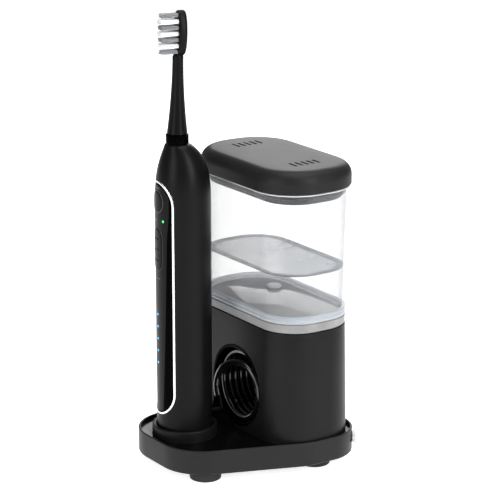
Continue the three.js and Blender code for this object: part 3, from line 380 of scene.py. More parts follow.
def make_materials():
    colors = bpy.context.scene.flosser_colors
    return {
        "station": moulded("satin_black_station", colors.station, 0.4, shine=0.12),
        "tray": moulded("satin_black_tray", colors.tray, 0.42, shine=0.16),
        "tray_floor": polished("glossy_tray_floor", (0.002, 0.002, 0.0022), 0.14, 0.09, 0.0),
        "handle": moulded("satin_black_handle", colors.handle, 0.34, 0.000012, shine=0.09),
        "neck": moulded("satin_black_neck", colors.handle, 0.32, shine=0.08),
        "lid": moulded("matt_black_lid", colors.lid, 0.46, 0.00003, 3000, 0.14),
        "gloss": polished("gloss_black", (0.0006, 0.0006, 0.0007), 0.06, 0.01, 0.0),
        "button": moulded("button_black", colors.handle, 0.28, 0.00001, shine=0.07),
        "ring": moulded("ring_grey", (0.05, 0.05, 0.053), 0.25, 0.00001, shine=0.3),
        "mark": moulded("printed_grey", (0.3, 0.3, 0.31), 0.5),
        "trim": metal("silver_trim", colors.trim, 0.2),
        "hose": polished("glossy_hose", colors.hose, 0.12, 0.4, 0.3),
        "clear": clear_plastic("clear_tank", (0.3, 0.31, 0.33), 0.045, 0.75),
        # painted highlight: the tank's clear rim is drawn near-white and nearly opaque for the bright line
        # along it
        "bright_rim": clear_plastic("clear_rim_painted_highlight", (0.9, 0.91, 0.92), 0.85, 0.1),
        # painted light: the tank's clear floor is drawn near-white and mostly opaque for the light that
        # shows through the tank
        "clear_floor": clear_plastic("clear_floor", (0.97, 0.98, 0.99), 0.7, 0.25),
        "tube": clear_plastic("clear_tube", (0.7, 0.72, 0.73), 0.35),
        "ridge": clear_plastic("clear_ridge", (0.62, 0.67, 0.72), 0.4, 0.5),
        "frosted": frosted_plastic("frosted_skirt"),
        "water": water_finish("still_water", colors.water, 0.03),
        # painted reflection: a grey-blue, half-opaque sheet at the water line stands in for the light
        # reflected off the water's surface
        "surface": water_finish("water_surface_painted_reflection", (0.28, 0.31, 0.35), 0.42),
        # painted light: the deck is drawn pale for the light seen through the tank's floor
        "deck": moulded("pale_deck_painted_light", (0.8, 0.81, 0.82), 0.4),
        "rubber": moulded("grey_rubber", (0.012, 0.012, 0.0123), 0.68, 0.00004, 2200),
        "seal": moulded("black_seal", (0.009, 0.009, 0.0092), 0.5),
        "grey": moulded("grey_plastic", (0.38, 0.39, 0.4), 0.45),
        "inlet": moulded("pale_grey_inlet", (0.52, 0.53, 0.53), 0.35),
        "nylon": moulded("white_nylon", (0.78, 0.78, 0.75), 0.48),
        "steel": metal("bright_steel", (0.6, 0.6, 0.62), 0.28),
        "sleeve": moulded("blue_cell_sleeve", (0.05, 0.16, 0.38), 0.35),
        "copper": metal("copper_winding", (0.78, 0.4, 0.2), 0.32),
        "ferrite": moulded("dark_ferrite", (0.05, 0.048, 0.045), 0.7),
        "board": moulded("green_board", (0.02, 0.16, 0.07), 0.38),
        "bristle": moulded("nylon_bristle", (0.8, 0.81, 0.82), 0.4),
        "bristle_dark": moulded("grey_bristle", (0.25, 0.26, 0.27), 0.45),
        "blue": lit("blue_lens", colors.level_light, 1.6),
        "green": lit("green_lens", colors.ready_light, 1.8),
        "dark": polished("dark_lens", (0.03, 0.03, 0.034), 0.2),
    }


MATERIALS = {}


def material(name):
    if not MATERIALS:
        MATERIALS.update(make_materials())
    return MATERIALS[name]


# ---------- mesh helpers ----------
def piece(name, bm, finish, body, nodes=(), smooth=40, place=None):
    """Turns a bmesh into a finished piece that rides on a body and stands for some CAD nodes."""
    bmesh.ops.remove_doubles(bm, verts=bm.verts, dist=1e-7)
    bmesh.ops.recalc_face_normals(bm, faces=bm.faces)
    if place is not None:
        bm.transform(place)
    mesh = bpy.data.meshes.new(name)
    bm.to_mesh(mesh)
    bm.free()
    for each in finish if isinstance(finish, tuple) else (finish,):
        mesh.materials.append(material(each))
    return settle(name, mesh, body, nodes, smooth)


def settle(name, mesh, body, nodes, smooth):
    """Puts a finished mesh in the scene as a piece, on its body and in place of its CAD nodes."""
    obj = bpy.data.objects.new(name, mesh)
    bpy.context.scene.collection.objects.link(obj)
    shade(obj, smooth)
    if body:
        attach(obj, body)
    if nodes:
        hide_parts(*nodes)
    return obj


def shade(obj, angle):
    mesh = obj.data
    mesh.polygons.foreach_set("use_smooth", [True] * len(mesh.polygons))
    mesh.set_sharp_from_angle(angle=math.radians(angle))
    mesh.update()


def rings(loops, closed_ends=True):
    """A bmesh skinned over loops of equal point count; each loop is a list of Vectors."""
    bm = bmesh.new()
    rows = [[bm.verts.new(p) for p in loop] for loop in loops]
    count = len(loops[0])
    for low, high in zip(rows, rows[1:]):
        for i in range(count):
            j = (i + 1) % count
            bm.faces.new((low[i], low[j], high[j], high[i]))
    if closed_ends:
        bm.faces.new(reversed(rows[0]))
        bm.faces.new(rows[-1])
    return bm


def closed_rings(loops):
    """As rings, with the last loop joined back to the first, for a shell with a wall."""
    return rings(loops + loops[:1], closed_ends=False)


def lathe(profile, segments=96):
    """Turns (radius, height) points about Z; a radius of 0 closes the end in a fan."""
    bm = bmesh.new()
    rows = []
    for radius, z in profile:
        if radius <= 0:
            rows.append([bm.verts.new((0, 0, z))])
        else:
            turn = [2 * math.pi * i / segments for i in range(segments)]
            rows.append([bm.verts.new((radius * math.cos(a), radius * math.sin(a), z)) for a in turn])
    for low, high in zip(rows, rows[1:]):
        for i in range(segments):
            j = (i + 1) % segments
            face = [low[i % len(low)], low[j % len(low)], high[j % len(high)], high[i % len(high)]]
            corners = list(dict.fromkeys(face))
            if len(corners) > 2:
                bm.faces.new(corners)
    return bm


def closed_lathe(profile, segments=96):
    """Turns a profile that closes on itself, clear of the axis."""
    return lathe(list(profile) + [profile[0]], segments)


def arc(x, z, radius, start, end, steps=6):
    """Points of an arc in the profile plane, with angles in degrees."""
    turn = [math.radians(start + (end - start) * i / steps) for i in range(steps + 1)]
    return [(x + radius * math.cos(a), z + radius * math.sin(a)) for a in turn]


def rounded(half_x, half_y, radius, z, y=0.0, steps=16):
    """A rounded rectangle's loop at a height, with points along its straight sides too."""
    loop = []
    for sx, sy, start in ((1, 1, 0), (-1, 1, 90), (-1, -1, 180), (1, -1, 270)):
        for i in range(steps + 1):
            a = math.radians(start + 90 * i / steps)
            loop.append(Vector((
                sx * (half_x - radius) + radius * math.cos(a),
                y + sy * (half_y - radius) + radius * math.sin(a), z,
            )))
    return loop


def cut(name, target, cutter):
    """Takes a closed bmesh out of another, and gives back the rest as a bmesh."""
    objects = []
    for each in (target, cutter):
        bmesh.ops.recalc_face_normals(each, faces=each.faces)
        mesh = bpy.data.meshes.new(name)
        each.to_mesh(mesh)
        each.free()
        obj = bpy.data.objects.new(name, mesh)
        bpy.context.scene.collection.objects.link(obj)
        objects.append(obj)
    modifier = objects[0].modifiers.new("cut", "BOOLEAN")
    modifier.object = objects[1]
    modifier.operation = "DIFFERENCE"
    modifier.solver = "EXACT"
    depsgraph = bpy.context.evaluated_depsgraph_get()
    result = bmesh.new()
    result.from_object(objects[0], depsgraph)
    if not result.faces:
        raise RuntimeError(f"{name}: nothing is left after the cut")
    for obj in objects:
        bpy.data.objects.remove(obj)
    return result


def sweep(points, radius, sides=20):
    """A round tube along points, with its frame carried along without twist."""
    loops = []
    normal = None
    for i, point in enumerate(points):
        ahead = points[min(i + 1, len(points) - 1)] - points[max(i - 1, 0)]
        ahead.normalize()
        if normal is None:
            normal = ahead.orthogonal().normalized()
        normal = (normal - ahead * normal.dot(ahead)).normalized()
        side = ahead.cross(normal)
        turn = [2 * math.pi * k / sides for k in range(sides)]
        loops.append([point + radius * (math.cos(a) * normal + math.sin(a) * side) for a in turn])
    return rings(loops)


def smooth_path(points, per_span=8):
    """A centripetal Catmull-Rom curve through points."""
    ends = [2 * points[0] - points[1], *points, 2 * points[-1] - points[-2]]
    path = []
    for a, b, c, d in zip(ends, ends[1:], ends[2:], ends[3:]):
        t0 = 0.0
        t1 = t0 + (b - a).length ** 0.5
        t2 = t1 + (c - b).length ** 0.5
        t3 = t2 + (d - c).length ** 0.5
        for i in range(per_span):
            t = t1 + (t2 - t1) * i / per_span
            ab = a.lerp(b, (t - t0) / (t1 - t0))
            bc = b.lerp(c, (t - t1) / (t2 - t1))
            cd = c.lerp(d, (t - t2) / (t3 - t2))
            abc = ab.lerp(bc, (t - t0) / (t2 - t0))
            bcd = bc.lerp(cd, (t - t1) / (t3 - t1))
            path.append(abc.lerp(bcd, (t - t1) / (t2 - t1)))
    return path + [points[-1]]


# ---------- geometry nodes ----------
class Tree:
    """A Geometry Nodes tree under construction, with named inputs."""

    def __init__(self, name, inputs):
        self.tree = bpy.data.node_groups.new(name, "GeometryNodeTree")
        self.tree.interface.new_socket("Geometry", in_out="OUTPUT", socket_type="NodeSocketGeometry")
        self.ids = {}
        for label, kind in inputs:
            made = self.tree.interface.new_socket(label, in_out="INPUT", socket_type=f"NodeSocket{kind}")
            self.ids[label] = made.identifier
        self.source = self.tree.nodes.new("NodeGroupInput")

    def node(self, kind, settings=None, **sockets):
        made = self.tree.nodes.new(kind)
        for key, value in (settings or {}).items():
            setattr(made, key, value)
        for key, value in sockets.items():
            socket = made.inputs[key.replace("_", " ")]
            if isinstance(value, bpy.types.NodeSocket):
                self.tree.links.new(value, socket)
            else:
                socket.default_value = value
        return made

    def given(self, label):
        return self.source.outputs[label]

    def scaled(self, label, factor):
        """An input times a number."""
        made = self.node("ShaderNodeMath", {"operation": "MULTIPLY"})
        self.tree.links.new(self.given(label), made.inputs[0])
        made.inputs[1].default_value = factor
        return made.outputs[0]

    def end(self, geometry, finish):
        real = self.node("GeometryNodeRealizeInstances", Geometry=geometry)
        coat = self.node("GeometryNodeSetMaterial", Geometry=real.outputs[0], Material=finish)
        out = self.tree.nodes.new("NodeGroupOutput")
        self.tree.links.new(coat.outputs[0], out.inputs[0])

    def run(self, name, values, source=None):
        """Runs the tree on a mesh, or on an empty one, and gives back the result as a plain mesh."""
        carrier = bpy.data.objects.new(f"{name}_source", source or bpy.data.meshes.new(name))
        bpy.context.scene.collection.objects.link(carrier)
        modifier = carrier.modifiers.new("nodes", "NODES")
        modifier.node_group = self.tree
        for label, value in values.items():
            modifier[self.ids[label]] = value
        graph = bpy.context.evaluated_depsgraph_get()
        mesh = bpy.data.meshes.new_from_object(carrier.evaluated_get(graph), depsgraph=graph)
        if not mesh.polygons:
            raise RuntimeError(f"{name}: its tree made nothing")
        carrier.modifiers.remove(modifier)
        bpy.data.objects.remove(carrier)
        mesh.name = name
        return mesh

    def build(self, name, values, body, slot, nodes=(), smooth=40, place=None, source=None):
        """Makes a piece of the tree's result."""
        mesh = self.run(name, values, source)
        if place is not None:
            mesh.transform(place)
        return settle(name, mesh, body, nodes, smooth)


# ---------- the hose ----------
def hose_path(steps_per_turn=40):
    """From the outlet round the pocket's turns and along the free stretch to the handle."""
    steps = int(COIL_TURNS * steps_per_turn)
    points = []
    for i in range(steps):
        part = i / steps
        angle = OUTLET_ANGLE + 2 * math.pi * COIL_TURNS * part
        y = OUTLET_Y + (TAIL[0].y - OUTLET_Y) * part
        points.append(Vector((
            COIL_RADIUS * math.cos(angle), y, COIL_Z + COIL_RADIUS * math.sin(angle),
        )))
    return points + smooth_path(TAIL)


def build_hose(props):
    path = hose_path()
    length = sum((b - a).length for a, b in zip(path, path[1:]))
    bm = sweep(path, props.diameter / 2)
    hose = piece("hose", bm, "hose", None, ("hose_coil", "hose_tail"))
    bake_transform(hose)


# ---------- station ----------
def tray_outline(inset, z, steps=14):
    """The tray's outline: arcs round the tower's corners and round the narrower cup end."""
    nose_y = TRAY[0].y + NOSE_RADIUS
    tail_y = TRAY[1].y - TAIL_RADIUS
    shoulder_y = TOWER[0].y + TOWER_RADIUS
    right = TRAY[1].x - TAIL_RADIUS
    left = TRAY[0].x + TAIL_RADIUS
    corners = [
        (NOSE_X + NOSE_HALF, nose_y, NOSE_RADIUS), (right, shoulder_y, TAIL_RADIUS),
        (right, tail_y, TAIL_RADIUS), (left, tail_y, TAIL_RADIUS),
        (left, shoulder_y, TAIL_RADIUS), (NOSE_X - NOSE_HALF, nose_y, NOSE_RADIUS),
    ]
    directions = []
    for (x0, y0, r0), (x1, y1, r1) in zip(corners, corners[1:] + corners[:1]):
        run = math.hypot(x1 - x0, y1 - y0)
        directions.append(math.atan2(y1 - y0, x1 - x0) - math.acos((r0 - r1) / run))
    loop = []
    for i, (x, y, radius) in enumerate(corners):
        start = directions[i - 1]
        while start > directions[i]:
            start -= 2 * math.pi
        for k in range(steps + 1):
            a = start + (directions[i] - start) * k / steps
            loop.append(Vector((x + (radius - inset) * math.cos(a), y + (radius - inset) * math.sin(a), z)))
    return loop


def profile_loops(outline, profile):
    """Loops of an outline, one for each (inset, height) of a profile."""
    return [outline(inset, z) for inset, z in profile]


def build_tray(props):
    low, rim = TRAY[0].z, TRAY[1].z
    floor = rim - props.lip_height
    under = floor - TRAY_FLOOR_THICK
    edge, foot = 0.5 * MM, 1.2 * MM
    profile = (
        [(TRAY_WALL, low), (foot, low)] + [(foot - x, z) for x, z in arc(0, low + foot, foot, -90, 0)]
        + [(edge - x, z) for x, z in arc(0, rim - edge, edge, 0, 90)]
        + [(TRAY_LIP - edge + x, z) for x, z in arc(0, rim - edge, edge, 90, 0)]
        + [(TRAY_LIP + edge - x, z) for x, z in arc(0, floor + edge, edge, 0, -90)]
    )
    shell = rings(profile_loops(tray_outline, profile), closed_ends=False)
    inside = [[shell.verts.new(p) for p in tray_outline(TRAY_WALL, z)] for z in (low, under)]
    count = len(inside[0])
    for i in range(count):
        j = (i + 1) % count
        shell.faces.new((inside[0][i], inside[1][i], inside[1][j], inside[0][j]))
    shell.faces.new(inside[1])
    shell.faces.new([shell.verts.new(p) for p in tray_outline(TRAY_LIP + edge, floor)])
    bmesh.ops.remove_doubles(shell, verts=shell.verts, dist=1e-6)
    hole = lathe([(0, under - MM), (CUP_HOLE, under - MM), (CUP_HOLE, rim), (0, rim)])
    hole.transform(Matrix.Translation((CUP_X, CUP_Y, 0)))
    tray = piece("tray", cut("tray", shell, hole), ("tray", "tray_floor"), "base",
                 ("base_tray",), 30)
    level, near = 0.95, 0.2 * MM
    for face in tray.data.polygons:
        if face.normal.z > level and abs(face.center.z - floor) < near:
            face.material_index = 1


def build_cup(props):
    inner, rim, under = 18 * MM, 26.5 * MM, CUP[0].z
    outer = (CUP[1].x - CUP[0].x) / 2 - 2.5 * MM
    floor = HANDLE_BOTTOM - CUP_GAP
    edge, skirt, thick = 0.7 * MM, 2 * MM, 2.5 * MM
    post, post_radius, post_edge = CUP[1].z, 4 * MM, 0.8 * MM
    profile = (
        [(0, post)] + arc(post_radius - post_edge, post - post_edge, post_edge, 90, 0)
        + [(post_radius, floor), (inner, floor)] + arc(inner + edge, rim - edge, edge, 180, 90)
        + arc(outer - edge, rim - edge, edge, 90, 0)
        + [(outer, under + skirt), (inner, under + skirt), (inner, floor - thick), (0, floor - thick)]
    )
    piece("cup", lathe(profile), "station", "base", ("charging_cup",), 35,
          Matrix.Translation((CUP_X, CUP_Y, 0)))


def tower_loop(inset, z):
    """The tower's outline, which widens from its top to its foot."""
    share = (TOWER[1].z - z) / (TOWER[1].z - TOWER[0].z)
    half_x = TOWER_HALF_X + TOWER_DRAFT_X * share - inset
    half_y = TOWER_HALF_Y + TOWER_DRAFT_Y * share - inset
    return rounded(half_x, half_y, TOWER_RADIUS + MM * share - inset, z, TOWER_Y, 20)


def build_tower(props):
    low, top = TOWER[0].z, TOWER[1].z
    edge, inner_step = 0.5 * MM, 3 * MM
    rows = [(0.0, low), (0.0, low + 20 * MM), (0.0, low + 40 * MM), (0.0, top - edge)]
    rows += [(edge - x, z) for x, z in arc(0, top - edge, edge, 15, 90, 4)]
    rows += [(TOWER_WALL, top), (TOWER_WALL, top - inner_step), (TOWER_WALL, low)]
    wall = closed_rings(profile_loops(tower_loop, rows))
    front, cut_back = TOWER[0].y - MM, 8 * MM
    cut_radius = POCKET_RADIUS + 2 * MM
    centre = Matrix.Translation((0, 0, COIL_Z)) @ Matrix.Rotation(math.radians(-90), 4, "X")
    mouth = lathe([(0, front), (cut_radius, front), (cut_radius, cut_back), (0, cut_back)])
    mouth.transform(centre)
    piece("tower", cut("tower", wall, mouth), "station", "base", ("tower_shell",), 32)
    build_hose_tub(centre)


def build_hose_tub(centre):
    """The pocket's lining, with a rounded lip at its mouth."""
    lip, mouth_y, thick = 0.9 * MM, -2.6 * MM, 2 * MM
    outer = POCKET_RADIUS + 2.4 * MM
    profile = (
        [(POCKET_RADIUS, POCKET_BACK), (POCKET_RADIUS, mouth_y + lip)]
        + arc(POCKET_RADIUS + lip, mouth_y + lip, lip, 180, 270, 6)
        + [(outer, mouth_y), (outer, mouth_y + thick), (outer, POCKET_BACK + thick),
           (0, POCKET_BACK + thick), (0, POCKET_BACK)]
    )
    tub = lathe([(r, y) for r, y in reversed(profile)])
    tub.transform(centre)
    piece("hose_tub", tub, "gloss", "base", (), 32)


def build_feet(props):
    for name in ("front_left", "front_right", "rear_left", "rear_right"):
        low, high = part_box(f"foot_{name}")
        radius = (high.x - low.x) / 2
        soft, edge, recess = 1.2 * MM, 0.5 * MM, 0.25 * MM
        profile = (
            [(0, recess), (radius * 0.55, recess), (radius * 0.6, 0)]
            + arc(radius - soft, soft, soft, -90, 0) + [(radius, high.z - edge)]
            + arc(radius - edge, high.z - edge, edge, 0, 90, 3) + [(0, high.z)]
        )
        place = Matrix.Translation(((low.x + high.x) / 2, (low.y + high.y) / 2, 0))
        piece(f"rubber_{name}", lathe(profile, 64), "rubber", "base",
              (f"foot_{name}",), 40, place)


# ---------- tank, water and lid ----------
def tank_loop(inset, z):
    """The tank's outline, which widens from its foot to its top."""
    part = (z - TANK[0].z) / (TANK[1].z - TANK[0].z)
    return rounded(
        TOWER_HALF_X + TANK_FLARE_X * part - inset, TOWER_HALF_Y + TANK_FLARE_Y * part - inset,
        TOWER_RADIUS + TANK_FLARE_Y * part - inset, z, TOWER_Y, 20,
    )


def build_tank(props):
    low, top = TANK[0].z, TANK[1].z
    wall = TANK_WALL
    floor, skirt = low + TANK_FLOOR_RISE, low + SKIRT_HEIGHT
    edge, fillet = 0.4 * MM, 2 * MM
    profile = [(0, skirt + 3 * MM), (0, top - edge), (edge, top), (wall - edge, top), (wall, top - edge)]
    profile += [(wall, floor + fillet)]
    profile += [(wall + fillet - x, z) for x, z in arc(0, floor + fillet, fillet, 0, -90)]
    walls = rings(profile_loops(tank_loop, profile), closed_ends=False)
    piece("tank_walls", walls, "clear", "reservoir", ("reservoir_tank",), 45)
    rim_deep, rim_top = 0.8 * MM, top - 0.05 * MM
    rim = closed_rings(profile_loops(tank_loop, [
        (0.1 * MM, top - rim_deep), (0.1 * MM, top - 0.3 * MM), (0.5 * MM, rim_top),
        (wall - 0.5 * MM, rim_top), (wall - 0.2 * MM, top - rim_deep),
    ]))
    # painted highlight: this band is near-white for the bright line along the tank's top
    piece("tank_rim", rim, "bright_rim", "reservoir", (), 45)
    plate = rings(profile_loops(tank_loop, [
        (wall + fillet, floor - 2 * MM), (wall + MM, floor - 1.6 * MM), (wall + MM, floor - 0.4 * MM),
        (wall + fillet, floor),
    ]))
    # painted light: this clear floor plate is near-white for the light that shows through the tank
    piece("tank_floor", plate, "clear_floor", "reservoir", (), 45)
    build_ridges(props.ridges, skirt)
    band = closed_rings(profile_loops(tank_loop, [
        (0.5 * MM, low), (0.1 * MM, low + edge), (0.1 * MM, skirt - edge), (0.5 * MM, skirt),
        (wall, skirt), (wall, low),
    ]))
    piece("tank_skirt", band, "frosted", "reservoir", (), 40)


def build_ridges(count, skirt):
    """Clear beads round the tank, one over the other from the skirt up."""
    first, pitch, half = 1.5 * MM, 2.5 * MM, 1.25 * MM
    for i in range(count):
        middle = skirt + first + pitch * i
        bead = [(max(0.0, 0.55 * MM - 0.45 * x), z) for x, z in arc(0, middle, half, -90, 90, 8)]
        inner = [(TANK_WALL, middle + half), (TANK_WALL, middle - half)]
        ridge = closed_rings(profile_loops(tank_loop, bead + inner))
        piece(f"tank_ridge_{i + 1}", ridge, "ridge", "reservoir", (), 40)


def build_water(props):
    floor = TANK[0].z + 8.4 * MM
    level = TANK[0].z + props.water_depth
    inset = 2.35 * MM
    water = rings(profile_loops(tank_loop, [
        (inset + 2 * MM, floor), (inset + 0.6 * MM, floor + 0.8 * MM), (inset, floor + 2 * MM),
        (inset, level + 0.35 * MM), (inset + 0.5 * MM, level), (inset + 6 * MM, level - 0.15 * MM),
    ]))
    piece("tank_water", water, "water", "reservoir", (), 50)
    under = level - 0.1 * MM
    # painted reflection: a grey sheet at the water line for the look of the water's surface
    surface = rings(profile_loops(tank_loop, [
        (inset, level + 0.5 * MM), (inset + 0.6 * MM, level + 0.15 * MM),
        (inset + 5 * MM, level + 0.05 * MM), (inset + 5 * MM, under), (inset, under),
    ]))
    piece("water_surface_painted_reflection", surface, "surface", "reservoir", (), 50)


def lid_loop(inset, z):
    return rounded(LID_HALF_X - inset, LID_HALF_Y - inset, LID_RADIUS - inset, z, TOWER_Y, 20)


def vent_tree():
    """A row of blocks: the cutters of one group of the lid's vents."""
    tree = Tree("lid_vents", [
        ("Count", "Int"), ("Pitch", "Float"), ("Size", "Vector"), ("Finish", "Material"),
    ])
    line = tree.node("GeometryNodeMeshLine", Count=tree.given("Count"))
    step = tree.node("ShaderNodeCombineXYZ", Y=tree.given("Pitch"))
    tree.tree.links.new(step.outputs[0], line.inputs["Offset"])
    block = tree.node("GeometryNodeMeshCube", Size=tree.given("Size"))
    copies = tree.node("GeometryNodeInstanceOnPoints", Points=line.outputs[0], Instance=block.outputs[0])
    tree.end(copies.outputs[0], tree.given("Finish"))
    return tree


def vent_cutters(props):
    """The blocks of both groups of vents as one bmesh."""
    tree = vent_tree()
    start = TOWER_Y - (props.vents - 1) / 2 * props.vent_pitch
    values = {
        "Count": props.vents, "Pitch": props.vent_pitch, "Size": (8.5 * MM, 1.8 * MM, 6 * MM),
        "Finish": material("lid"),
    }
    bm = bmesh.new()
    for x in (-VENT_X, VENT_X):
        mesh = tree.run("vents", values)
        mesh.transform(Matrix.Translation((x, start, LID[1].z)))
        bm.from_mesh(mesh)
    return bm


def build_lid(props):
    top = LID[1].z
    low = top - LID_HEIGHT
    soft, wall, edge = LID_ROUND, LID_WALL, 0.6 * MM
    outer = [(edge, low), (0.0, low + edge)]
    outer += [(soft - x, z) for x, z in arc(0, top - soft, soft, 0, 88, 12)]
    outer += [(soft + 6 * MM, top), (soft + 14 * MM, top)]
    inner = [(soft + 14 * MM, top - wall), (soft, top - wall)]
    inner += [(soft - x, z) for x, z in arc(0, top - soft, soft - wall, 80, 0, 6)]
    inner += [(wall, low)]
    form = rings(profile_loops(lid_loop, outer))
    hollow = rings(profile_loops(lid_loop, [(wall, low - MM)] + list(reversed(inner))))
    shell = cut("lid", cut("lid", form, hollow), vent_cutters(props))
    piece("lid", shell, "lid", "lid", ("reservoir_lid",), 28)
    build_plug(low, LID[0].z)


def build_plug(low, plug_low):
    """What goes into the tank: the plug, the web that carries it, and the seal round it."""
    plug_top = low + 2.5 * MM
    plug = closed_rings(profile_loops(tank_loop, [
        (4.7 * MM, plug_top), (4.6 * MM, plug_low + MM), (5.2 * MM, plug_low), (6.4 * MM, plug_low),
        (6.8 * MM, plug_low + 0.6 * MM), (6.8 * MM, plug_top),
    ]))
    piece("lid_plug", plug, "seal", "lid", (), 40)
    web_low, web_high = low + 1.4 * MM, low + 2.6 * MM
    web_outer, web_inner = 1.2 * MM, 9.5 * MM
    web = closed_rings(profile_loops(lid_loop, [
        (web_outer, web_low), (web_outer, web_high), (web_inner, web_high), (web_inner, web_low),
    ]))
    piece("lid_web", web, "lid", "lid", (), 40)
    middle, steps = plug_low + 3.4 * MM, 12
    bead = closed_rings(profile_loops(tank_loop, [
        (2.5 * MM + 0.9 * MM * (1 - math.cos(a)), middle + 1.4 * MM * math.sin(a))
        for a in (math.pi * 2 * k / steps for k in range(steps))
    ]))
    piece("lid_seal", bead, "seal", "lid", ("lid_gasket",), 60)


# ---------- handle ----------
def shoulder_part(z):
    """0 where the shoulder starts, 1 at the handle's top."""
    return min(1.0, max(0.0, (z - HANDLE_TOP + SHOULDER_HEIGHT) / SHOULDER_HEIGHT))


def shoulder_shift(z):
    return NECK_SHIFT * shoulder_part(z) ** SHIFT_CURVE


def handle_radius(z):
    return HANDLE_RADIUS - (HANDLE_RADIUS - SHOULDER_TOP_RADIUS) * shoulder_part(z) ** SHOULDER_CURVE


def front_point(across, height, proud):
    """A point on the handle's front, a distance round it from its middle, proud of its surface."""
    turn = across / HANDLE_RADIUS
    radius = handle_radius(height) + proud
    return Vector((radius * math.sin(turn), -radius * math.cos(turn) - shoulder_shift(height), height))


def lean(bm):
    for vert in bm.verts:
        vert.co.y -= shoulder_shift(vert.co.z)
    return bm


def front_patch(name, outline, inner, outer, finish, body, nodes, soft):
    """A patch on the handle's front from an outline of (across, height) points, between two depths."""
    centre = sum((Vector(p) for p in outline), Vector((0, 0))) / len(outline)
    radius_of = max((Vector(p) - centre).length for p in outline)
    rows = [(1.0, inner), (1.0, outer - soft)]
    edge_rows, face_rows, smallest = 4, 6, 0.02
    for k in range(1, edge_rows + 1):
        a = math.pi / 2 * k / edge_rows
        share = 1 - soft * (1 - math.cos(a)) / radius_of
        rows.append((share, outer - soft + soft * math.sin(a)))
    for k in range(1, face_rows + 1):
        rows.append((max(1 - k / face_rows, smallest), outer))
    loops = []
    for share, proud in rows:
        scaled = [centre + (Vector(point) - centre) * share for point in outline]
        loops.append([front_point(point.x, point.y, proud) for point in scaled])
    return piece(name, rings(loops), finish, body, nodes, 35, STAND)


def stadium(half_width, low, high, steps=20, side_steps=12):
    """(across, height) points of an upright pill, with points down its sides."""
    top, foot = high - half_width, low + half_width
    points = []
    for middle, end, start, side in ((top, foot, 0, -1), (foot, top, 180, 1)):
        for i in range(steps + 1):
            a = math.radians(start + 180 * i / steps)
            points.append((half_width * math.cos(a), middle + half_width * math.sin(a)))
        for k in range(1, side_steps):
            points.append((side * half_width, middle + (end - middle) * k / side_steps))
    return points


def disc(radius, height, across=0.0, steps=40):
    turn = [2 * math.pi * i / steps for i in range(steps)]
    return [(across + radius * math.cos(a), height + radius * math.sin(a)) for a in turn]


def band_patch(name, outline, width, inner, outer, finish, body, nodes=(), soft=0.15 * MM):
    """A closed band on the handle's front, whose outer edge is the outline."""
    count = len(outline)
    normals = []
    for i in range(count):
        ahead = Vector(outline[(i + 1) % count]) - Vector(outline[i - 1])
        normals.append(Vector((-ahead.y, ahead.x)).normalized())
    profile = [(0, inner), (0, outer - soft), (soft, outer), (width - soft, outer), (width, outer - soft),
               (width, inner)]
    loops = [[
        front_point(across + normal.x * inset, height + normal.y * inset, proud)
        for (across, height), normal in zip(outline, normals)
    ] for inset, proud in profile]
    return piece(name, closed_rings(loops), finish, body, nodes, 50, STAND)


def build_handle(props):
    low, top = HANDLE_BOTTOM, HANDLE_TOP
    foot, rim, bore, bore_deep = 1.4 * MM, 0.6 * MM, 2.2 * MM, 2 * MM
    rows = 26
    profile = [(0, low), (HANDLE_RADIUS - foot, low)]
    profile += arc(HANDLE_RADIUS - foot, low + foot, foot, -80, 0)
    profile += [(HANDLE_RADIUS, low + 30 * MM), (HANDLE_RADIUS, low + 80 * MM)]
    for k in range(rows + 1):
        z = top - SHOULDER_HEIGHT + (SHOULDER_HEIGHT - rim) * k / rows
        profile.append((handle_radius(z), z))
    profile += [(SHOULDER_TOP_RADIUS - 0.3 * MM, top - 0.2 * MM), (SHOULDER_TOP_RADIUS - 0.7 * MM, top)]
    profile += [(bore, top), (bore, top - bore_deep), (0, top - bore_deep)]
    body = lean(lathe(profile, 128))
    ease, deep, beyond = 0.1 * MM, 1.2 * MM, 2 * MM
    outline = stadium(PANEL_HALF + ease, PANEL_LOW - ease, PANEL_HIGH + ease)
    loops = [[front_point(x, z, proud) for x, z in outline] for proud in (-deep, beyond)]
    piece("handle_shell", cut("handle", body, rings(loops)), "handle", "handle",
          ("handle_body",), 30, STAND)


def build_panel(props):
    inner, ease = -1.1 * MM, 0.1 * MM
    band_patch("silver_trim", stadium(PANEL_HALF, PANEL_LOW, PANEL_HIGH), props.trim_width, inner, 0.2 * MM,
               "trim", "handle", ("panel_trim",))
    inset = props.trim_width + ease
    face = stadium(PANEL_HALF - inset, PANEL_LOW + inset, PANEL_HIGH - inset)
    front_patch("gloss_panel", face, inner, -0.05 * MM, "gloss", "handle",
                ("front_panel",), 0.15 * MM)


def build_buttons(props):
    seat, soft, ring_gap = -0.6 * MM, 0.35 * MM, 0.6 * MM
    band_patch("power_ring", disc(POWER_KEY_RADIUS + ring_gap, POWER_KEY_Z), 0.5 * MM, seat, 0.14 * MM,
               "ring", "handle")
    front_patch("power_key", disc(POWER_KEY_RADIUS, POWER_KEY_Z), seat, 0.42 * MM, "button",
                "power_button", ("power_button",), soft)
    front_patch("mode_key", mode_pill(0), seat, 0.35 * MM, "button", "mode_button",
                ("mode_button",), soft)
    band_patch("mode_ring", mode_pill(ring_gap), 0.35 * MM, seat, 0.1 * MM, "ring", "handle")


def mode_pill(extra):
    """The mode key's outline, grown by a width."""
    half_length = MODE_KEY_HALF_LENGTH + extra
    return stadium(MODE_KEY_HALF_WIDTH + extra, MODE_KEY_Z - half_length, MODE_KEY_Z + half_length, 16)


